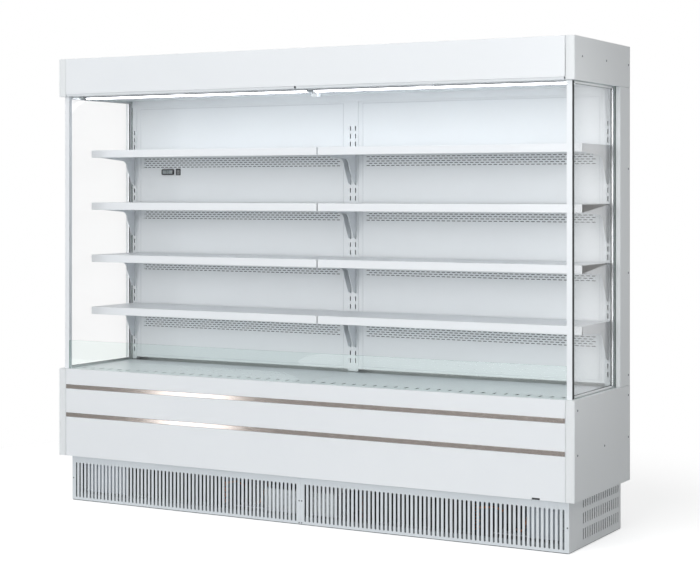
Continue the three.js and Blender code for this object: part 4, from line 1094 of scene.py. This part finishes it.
# %% Condenser coils
FIN_PITCH, FIN, TUBE_PITCH = 4.0, 0.4, 12.0
COIL_DEPTH, COIL_FEET = 40, 8  # front to rear, and how high the coil stands on its end plates
for side in ("left", "right"):
    low, high = corners(f"condenser_coil_{side}")
    bottom, top, face = low[2] + COIL_FEET, high[2], low[1]
    x = np.arange(low[0] + 14, high[0] - 14, FIN_PITCH)
    fins = plates(np.stack([x, 0 * x + face + 1, 0 * x + bottom + 3], 1),
                  np.stack([x + FIN, 0 * x + face + COIL_DEPTH - 1, 0 * x + top - 3], 1))
    coil = piece(f"condenser_fins_{side}", [fins], SHADE_DARK_FINS)
    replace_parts(coil, f"condenser_coil_{side}")
    levels = np.arange(bottom + 14, top - 8, TUBE_PITCH)
    rows = (face + 12, face + 28)
    runs = [np.array([[low[0] + 10, y, z], [high[0] - 10, y, z]]) for y in rows for z in levels]
    tubes = [tube(run, 3.5, (0, 1, 0), 8) for run in runs]
    starts = levels[:-1:2] + TUBE_PITCH / 2
    bends = [bend for y in rows for end, out in ((low[0] + 12, -1), (high[0] - 12, 1))
             for bend in return_bends(end, y, starts, TUBE_PITCH, 3.3, out)]
    piece(f"condenser_tubes_{side}", tubes + bends, COPPER)

# %% Condenser frames
SHROUD = 62  # from the coil's front to the shroud's rear face
for side in ("left", "right"):
    low, high = corners(f"condenser_coil_{side}")
    bottom, top, face = low[2] + COIL_FEET, high[2], low[1]
    back, rear_face = face + COIL_DEPTH, face + SHROUD
    left, right = low[0], high[0]
    ends = [rounded_block([x, face, low[2]], [x + 1.5, back, top], 0.5, 2)
            for x in (left + 12, right - 13.5)]
    rims = [rounded_block([left, face, z], [right, back, z + 1.5], 0.5, 2)
            for z in (bottom, top - 1.5)]
    walls = plates([[left, back, bottom], [right - 2, back, bottom],
                    [left, back, bottom], [left, back, top - 2]],
                   [[left + 2, rear_face, top], [right, rear_face, top],
                    [right, rear_face, bottom + 2], [right, rear_face, top]])
    middle = np.array([(left + right) / 2, (bottom + top) / 2])
    shroud = holed_plate([left, rear_face - 2, bottom], [right, rear_face, top], middle, 56.0)
    piece(f"condenser_frame_{side}", [*ends, *rims, walls, shroud], SHADE_DARK_ZINC)

# %% Condenser fans and motors
STRAP, STRAP_REACH = 2, 64  # its thickness, and how far it goes from the motor to either side
MOTOR_PROFILE = [(0, 3), (10, 3), (20, 5), (23, 10), (24, 16), (24, 38), (21, 43), (0, 43)]
for side in ("left", "right"):
    low, high = corners(f"condenser_coil_{side}")
    x, z, back = (low[0] + high[0]) / 2, (low[2] + COIL_FEET + high[2]) / 2, low[1] + SHROUD
    centre = np.array([x, back + 11, z])
    fan_wheel(f"condenser_wheel_{side}", centre, radius=52.0, hub=20.0, depth=22.0, blades=5,
              cad_node=f"condenser_fan_{side}")
    can = turned(MOTOR_PROFILE, (x, back + 22, z), axis=1, sides=28)
    piece(f"condenser_motor_{side}", [can], COMPRESSOR_COAT)
    legs = [([x + a, back, z - 5], [x + a + STRAP, high[1], z + 5])
            for a in (-STRAP_REACH, STRAP_REACH - STRAP)]
    legs.append(([x - STRAP_REACH, high[1] - STRAP, z - 5], [x + STRAP_REACH, high[1], z + 5]))
    strap = [rounded_block(*leg, 0.6, 2) for leg in legs]
    piece(f"condenser_strap_{side}", strap, ZINC)

# %% [markdown]
# ## Compressors and their boxes
# A hermetic compressor is two pressed steel cups welded round the middle, on a
# foot plate with rubber mounts. Its profile is turned in one go: the weld is a
# narrow bead in it. Copper lines leave its side, and a small cover hides its
# terminals.

# %% Compressors
# Radius and height up from the foot plate. The bead from 69.5 to 72 is the weld.
SHELL_PROFILE = [(0, 6), (44, 6), (58, 10), (67, 20), (69, 30), (69, 60), (69.5, 62), (72, 63),
                 (72, 66), (69.5, 67), (69, 70), (68, 84), (61, 101), (46, 112), (24, 117), (0, 118)]
MOUNT_PROFILE = [(0, 4), (9, 4), (11, 6), (10, 9), (11, 12), (8, 14), (0, 14)]
MOUNT_REACH = 62
for side in ("left", "right"):
    low, high = corners(f"compressor_{side}")
    (x, y, _), bottom = (low + high) / 2, low[2]
    shell = turned(SHELL_PROFILE, (x, y, bottom), sides=48)
    can = piece(f"compressor_shell_{side}", [shell], COMPRESSOR_COAT)
    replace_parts(can, f"compressor_{side}")
    foot = rounded_block(low, [high[0], high[1], bottom + 4], 1.2, 2)
    piece(f"compressor_foot_{side}", [foot], ZINC)
    mounts = [turned(MOUNT_PROFILE, (x + sx * MOUNT_REACH, y + sy * MOUNT_REACH, bottom), sides=20)
              for sx in (-1, 1) for sy in (-1, 1)]
    piece(f"compressor_mounts_{side}", mounts, RUBBER)
    cover = rounded_block([x - 24, low[1] + 1, bottom + 34], [x + 24, low[1] + 16, bottom + 92], 4)
    piece(f"terminal_cover_{side}", [cover], BLACK_ABS)

# %% Refrigerant lines
for side in ("left", "right"):
    (left, front, bottom), high = corners(f"compressor_{side}")
    x, y = (left + high[0]) / 2, (front + high[1]) / 2
    coil_end = corners(f"condenser_coil_{side}")[1][0]
    discharge = [(x - 40, y - 58, 88), (x - 58, y - 66, 98), (left + 4, front + 4, 106),
                 (left + 2, front - 26, 106), (coil_end - 10, front - 32, 104)]
    suction = [(x + 20, y - 62, 24), (x + 34, front - 8, 22), (x + 60, front - 12, 26),
               (x + 66, front - 10, 60), (x + 66, y - 20, 112)]
    lines = [tube(eased(line) + [0, 0, bottom], radius)
             for line, radius in ((discharge, 4.0), (suction, 5.0))]
    piece(f"refrigerant_lines_{side}", lines, COPPER)

# %% [markdown]
# ### Boxes and a plug
# A grey-blue box with a lapping lid stands at either end of the tray: one
# holds the controls, the other is closed. The notch in the front panel's lower
# edge has a black plug.


# %% Boxes on the machine tray
def lidded_box(name, low, high, finish, slot):
    """A folded box with a lid that laps it by 12 mm and two lid screws."""
    low, high = np.array(low, float), np.array(high, float)
    body = rounded_block(low + [0.8, 0.8, 0.0], high - [0.8, 0.8, 2.0], 2.5)
    lid = rounded_block([low[0], low[1], high[2] - 12], high, 2.5)
    box = piece(name, [body, lid], finish)
    screws = [(low[0] + 18, low[1], high[2] - 6), (high[0] - 18, low[1], high[2] - 6)]
    screw_heads(name + "_screws", screws, (0, -1, 0), 3.0, SCREW_METAL_AND_SHADE)
    return box


RIGHT_BOX = ([992, -205, 33.4], [1140, -70, 158])  # its lowest and highest corner
low, high = corners("control_box")
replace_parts(lidded_box("control_box_left", low, high, BOX_COAT, "box_enamel"), "control_box")
lidded_box("control_box_right", *RIGHT_BOX, BOX_COAT, "box_enamel")
skin = corners("front_panel")[0]
plug_low, plug_high = (1044.8, skin[1] + 0.3, skin[2] + 0.4), (1076.8, skin[1] + 9, skin[2] + 7.4)
plug = rounded_block(plug_low, plug_high, 1.0, 2)
piece("drain_notch_plug", [plug], BLACK_ABS)

# %% [markdown]
# ## Evaporator
# The cold side sits under the deck: a long finned coil, and two fans on a
# plate that blow through it. It shows only through the deck's slots, so the
# packed coil keeps its shape, and the fans get real blades.

# %% Evaporator fans
FAN_REACH, FAN_LEVEL = 500.0, 356.3  # of the axles, from the middle and from the floor
for side, sign in (("left", -1), ("right", 1)):
    low, high = corners(f"evaporator_fan_{side}")
    centre = np.array([sign * FAN_REACH, (low[1] + high[1]) / 2, FAN_LEVEL])
    fan_wheel(f"evaporator_wheel_{side}", centre, radius=95.0, hub=32.0, depth=28.0, blades=5,
              cad_node=f"evaporator_fan_{side}")

# %% [markdown]
# ## Night curtains
# Each bay has a cloth on a spring roller behind the canopy's front. The cloth
# ends in an aluminium pull bar that hangs just under the canopy, with a grip
# at its middle. When the bar comes down, the cloth unrolls after it; here it is
# drawn at rest, hanging from the roller to the bar. The cloth is a fine grid,
# and it bows by a millimetre or two like real cloth.

# %% Night curtains
ACROSS, DOWN = 61, 25  # points of the cloth's grid
INTO_BAR = 1.5  # how far the cloth goes into the pull bar
for side in ("left", "right"):
    bar = f"curtain_pull_bar_{side}"
    low, high = corners(f"curtain_cloth_{side}")
    low[2] -= INTO_BAR
    u, v = np.meshgrid(np.linspace(0, 1, ACROSS), np.linspace(0, 1, DOWN), indexing="ij")
    x = low[0] + (high[0] - low[0]) * u
    z = low[2] + (high[2] - low[2]) * v
    ripple = (1.4 * np.sin(9 * np.pi * u) + 0.6 * np.sin(22 * np.pi * u)) * np.sin(np.pi * v)
    points = np.stack([x, (low[1] + high[1]) / 2 + ripple, z], -1)
    weave = (points, lattice(ACROSS, DOWN))
    cloth = piece(f"night_curtain_{side}", [weave], CURTAIN_WEAVE, outward=False)
    given_wall(cloth, 0.6)
    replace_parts(cloth, f"curtain_cloth_{side}")
    cloth.parent = None
    del cloth["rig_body"]
    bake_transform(cloth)
    folded_copy(f"pull_bar_{side}", bar, BAR_COAT, 0.8, bar)

# %% [markdown]
# ## Rollers
# The wound cloth makes the roller's body, a little thinner than the two end
# discs that guide it, and a steel axle comes out of each end. The discs and
# axles are drawn in the cloth's finish too.

# %% Rollers
# Radius and distance in from the end: axle, disc and the wound cloth.
ROLLER_END = [(0, 0), (5, 0), (5, 7), (19.6, 7), (20, 7.6), (20, 9.4), (19.6, 10), (18.6, 10)]
for side in ("left", "right"):
    low, high = corners(f"curtain_roller_{side}")
    middle, half = (low + high) / 2, (high[0] - low[0]) / 2
    left_end = [(radius, along - half) for radius, along in ROLLER_END]
    right_end = [(radius, -along) for radius, along in reversed(left_end)]
    roller = piece(f"spring_roller_{side}", [turned(left_end + right_end, middle, axis=0, sides=36)],
                   CURTAIN_WEAVE, f"curtain_roller_{side}")
    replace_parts(roller, f"curtain_roller_{side}")

# %% [markdown]
# ## Thermometer and sensor cover
# A dark framed display is let into the left back panel, with a small slotted
# cover beside it. Its digits are seven-segment bars, each a flat hexagon.

# %% Thermometer
low, high = corners("thermometer")
folded_copy("thermometer_case", "thermometer", BLACK_ABS, 0.6)
middle = (low + high) / 2
glass_low, glass_high = low + [5, 1.0, 5], (high[0] - 5, low[1] + 2.2, high[2] - 5)
glass = rounded_block(glass_low, glass_high, 0.4, 2)
piece("thermometer_display", [glass], DISPLAY)


def digit(shown, x, z, width, height, y):
    """A seven-segment digit: a flat hexagon bar per lit segment, upright or
    level, between the corners of two stacked squares."""
    half = height / 2
    spots = {"a": (0, half, False), "g": (0, 0, False), "d": (0, -half, False),
             "f": (-1, half / 2, True), "b": (1, half / 2, True),
             "e": (-1, -half / 2, True), "c": (1, -half / 2, True)}
    thick = width * 0.14
    outline = np.array([[-1, 0], [-0.8, -1], [0.8, -1], [1, 0], [0.8, 1], [-0.8, 1]])
    parts = []
    for name in shown:
        side_way, up, upright = spots[name]
        bar = outline * [half / 2 - 0.3 if upright else width / 2 - 0.3, thick]
        bar = bar[:, ::-1] * [1, -1] if upright else bar
        ring = np.stack([x + side_way * width / 2 + bar[:, 0], 0 * bar[:, 0] + y, z + up + bar[:, 1]], 1)
        parts.append((ring, [[0, 1, 2, 3, 4, 5]]))
    return parts


marks = []
for lit, x in (("abgcd", middle[0] - 6), ("abcdef", middle[0] + 6)):
    marks += digit(lit, x, middle[2], 5.5, 10, low[1] + 0.9)
piece("thermometer_digits", marks, BLACK_ABS, outward=False)

# %% Sensor cover
COVER_X, COVER_Z = (-932, -908), (1445, 1475)  # read off the photograph
panel_face = corners("back_panel_left")[0][1]
slot_levels = COVER_Z[0] + 3 + 5.6 * np.arange(5)
bands = [(*pair, (17, 2.4), 20, sum(COVER_X) / 2, 1) for pair in zip(slot_levels[:-1], slot_levels[1:])]
bands = [plain(COVER_Z[0], slot_levels[0]), *bands, plain(slot_levels[-1], COVER_Z[1])]
flat = slotted_flat(*COVER_X, bands)
cover = thickened(*flat, (0, panel_face - 2.5, 0), (1, 0, 0), (0, 0, 1), 2.4)
piece("sensor_cover", [cover], BLACK_ABS)

# %% [markdown]
# ## Sealant and joints
# A bead of white sealant frames each back panel, just in from its edges. A
# bead is a round carried along a side of the frame.

# %% Sealant beads
BEAD_FOOT, BEAD_TOP, BEAD_INSET = 612, 1752, 22
beads = []
for left, right in ((-1154 + BEAD_INSET, -26 - BEAD_INSET), (26 + BEAD_INSET, 1154 - BEAD_INSET)):
    loop = [(left, BEAD_TOP), (right, BEAD_TOP), (right, BEAD_FOOT), (left, BEAD_FOOT)]
    loop = np.array([(x, panel_face, z) for x, z in loop], float)
    beads += [tube(loop[[i, (i + 1) % 4]], 0.9, (0, 1, 0), 8) for i in range(4)]
piece("panel_border_beads", beads, WHITE_PVC)

# %% [markdown]
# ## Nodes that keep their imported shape
# These solids already have their real shape, so they only get their finish.

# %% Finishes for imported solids
def coat(finish, *cad_nodes):
    """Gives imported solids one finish."""
    for name in cad_nodes:
        mesh = frame["nodes"][name].data
        mesh.materials.clear()
        mesh.materials.append(finish)


coat(LINER_COAT, "shelf_standard_left", "shelf_standard_centre", "shelf_standard_right")
# The base frame takes the dark zinc, which is painted shade.
coat(SHADE_DARK_ZINC, "base_frame")
coat(ZINC, "condensate_pan")
coat(COIL_FINS, "evaporator_coil")
print("packed solids coated")

# %% [markdown]
# ## Floor, backdrop and light
# The photograph has a white ground with the faintest shadow. The world is
# white where the camera, a reflection or a pane sees it, and dimmer where it
# only lights. Far from the case the floor turns white too, so that no horizon
# shows. A high lamp and a low one in front light the cabinet evenly. A tall
# one beside the right end gives that end its slow gradient, and a small one
# that lights nothing but the trim bars draws the white patch on them.

# %% Floor
def seen_directly(tree):
    """1 where the camera, a reflection or a pane looks, and 0 for light that
    only bounces: the largest of three of Light Path's answers."""
    rays = node(tree, "LightPath").outputs
    seen = rays["Is Camera Ray"]
    for ray in ("Is Glossy Ray", "Is Transmission Ray"):
        seen = node(tree, "Math", {0: seen, 1: rays[ray]}, operation="MAXIMUM").outputs[0]
    return seen


floor_finish, tree, shader = surface("matt_white_floor", Roughness=0.9)
seen = seen_directly(tree)
tree.links.new(shades(tree, seen, "#CDD0D1", "#FCFCFC"), shader.inputs["Base Color"])
glow = node(tree, "Math", {0: seen, 1: 0.5}, operation="MULTIPLY").outputs[0]
shader.inputs["Emission Color"].default_value = linear("#FFFFFF")
tree.links.new(glow, shader.inputs["Emission Strength"])
from_middle = node(tree, "VectorMath", {0: place_on(tree)}, operation="LENGTH").outputs["Value"]
fade = {"Value": from_middle, "From Min": 1.5, "From Max": 2.6}
far = node(tree, "MapRange", fade, interpolation_type="SMOOTHSTEP").outputs["Result"]
far = node(tree, "Math", {0: far, 1: seen}, operation="MULTIPLY").outputs[0]
white = node(tree, "Emission", {"Color": linear("#FFFFFF"), "Strength": 1.0}).outputs[0]
whole = node(tree, "MixShader", {0: far, 1: shader.outputs["BSDF"], 2: white}).outputs[0]
tree.links.new(whole, tree.nodes["Material Output"].inputs["Surface"])
FLOOR = 15  # metres each way from the middle
floor_mesh = bpy.data.meshes.new("studio_floor")
floor_corners = [(x * FLOOR, y * FLOOR, -0.001) for x, y in ((-1, -1), (1, -1), (1, 1), (-1, 1))]
floor_mesh.from_pydata(floor_corners, [], [(0, 1, 2, 3)])
floor_mesh.materials.append(floor_finish)
floor = bpy.data.objects.new("studio_floor", floor_mesh)
bpy.context.scene.collection.objects.link(floor)
print("floor of", 2 * FLOOR, "x", 2 * FLOOR, "m")

# %% World
AMBIENT = 0.36
world = bpy.data.worlds.new("white_studio")
bpy.context.scene.world = world
world.use_nodes = True
tree = world.node_tree
tree.nodes.clear()
level = node(tree, "MapRange", {"Value": seen_directly(tree), "To Min": AMBIENT, "To Max": 1.0})
background = node(tree, "Background", {"Color": linear("#FFFFFF"), "Strength": level.outputs["Result"]})
node(tree, "OutputWorld", {"Surface": background.outputs[0]})
print("the world lights at", AMBIENT, "of the white that the camera sees")


# %% Lamps
def lamp_object(name, kind, towards, place=(0, 0, 0), **settings):
    """A lamp that shines along the direction from towards to the origin."""
    lamp = bpy.data.lights.new(name, kind)
    for key, value in settings.items():
        setattr(lamp, key, value)
    made = bpy.data.objects.new(name, lamp)
    bpy.context.scene.collection.objects.link(made)
    made.location = place
    made.rotation_euler = Vector(towards).to_track_quat("Z", "Y").to_euler()
    made.visible_camera = False
    return made


lamp_object("high_lamp", "SUN", (-0.2, -0.65, 0.73), energy=0.55, angle=math.radians(45))
lamp_object("front_lamp", "SUN", (-0.18, -0.97, 0.08), energy=1.56, angle=math.radians(40))
lamp_object("side_lamp", "AREA", (1, 0, 0), (1.9, -0.5, 1.35),
            shape="RECTANGLE", size=0.25, size_y=1.2, energy=2.7)
strip = lamp_object("strip_lamp", "AREA", (0, -1, 0), (-1.318, -1.505, 0.28),
                    shape="RECTANGLE", size=0.466, size_y=0.4, energy=4)
bars = bpy.data.collections.new("trim_bars")
for level in ("upper", "lower"):
    bars.objects.link(bpy.data.objects[f"stainless_strip_{level}"])
strip.light_linking.receiver_collection = bars
bpy.context.scene.view_settings.view_transform = "Standard"
print("lamps:", [lamp.name for lamp in bpy.data.lights])
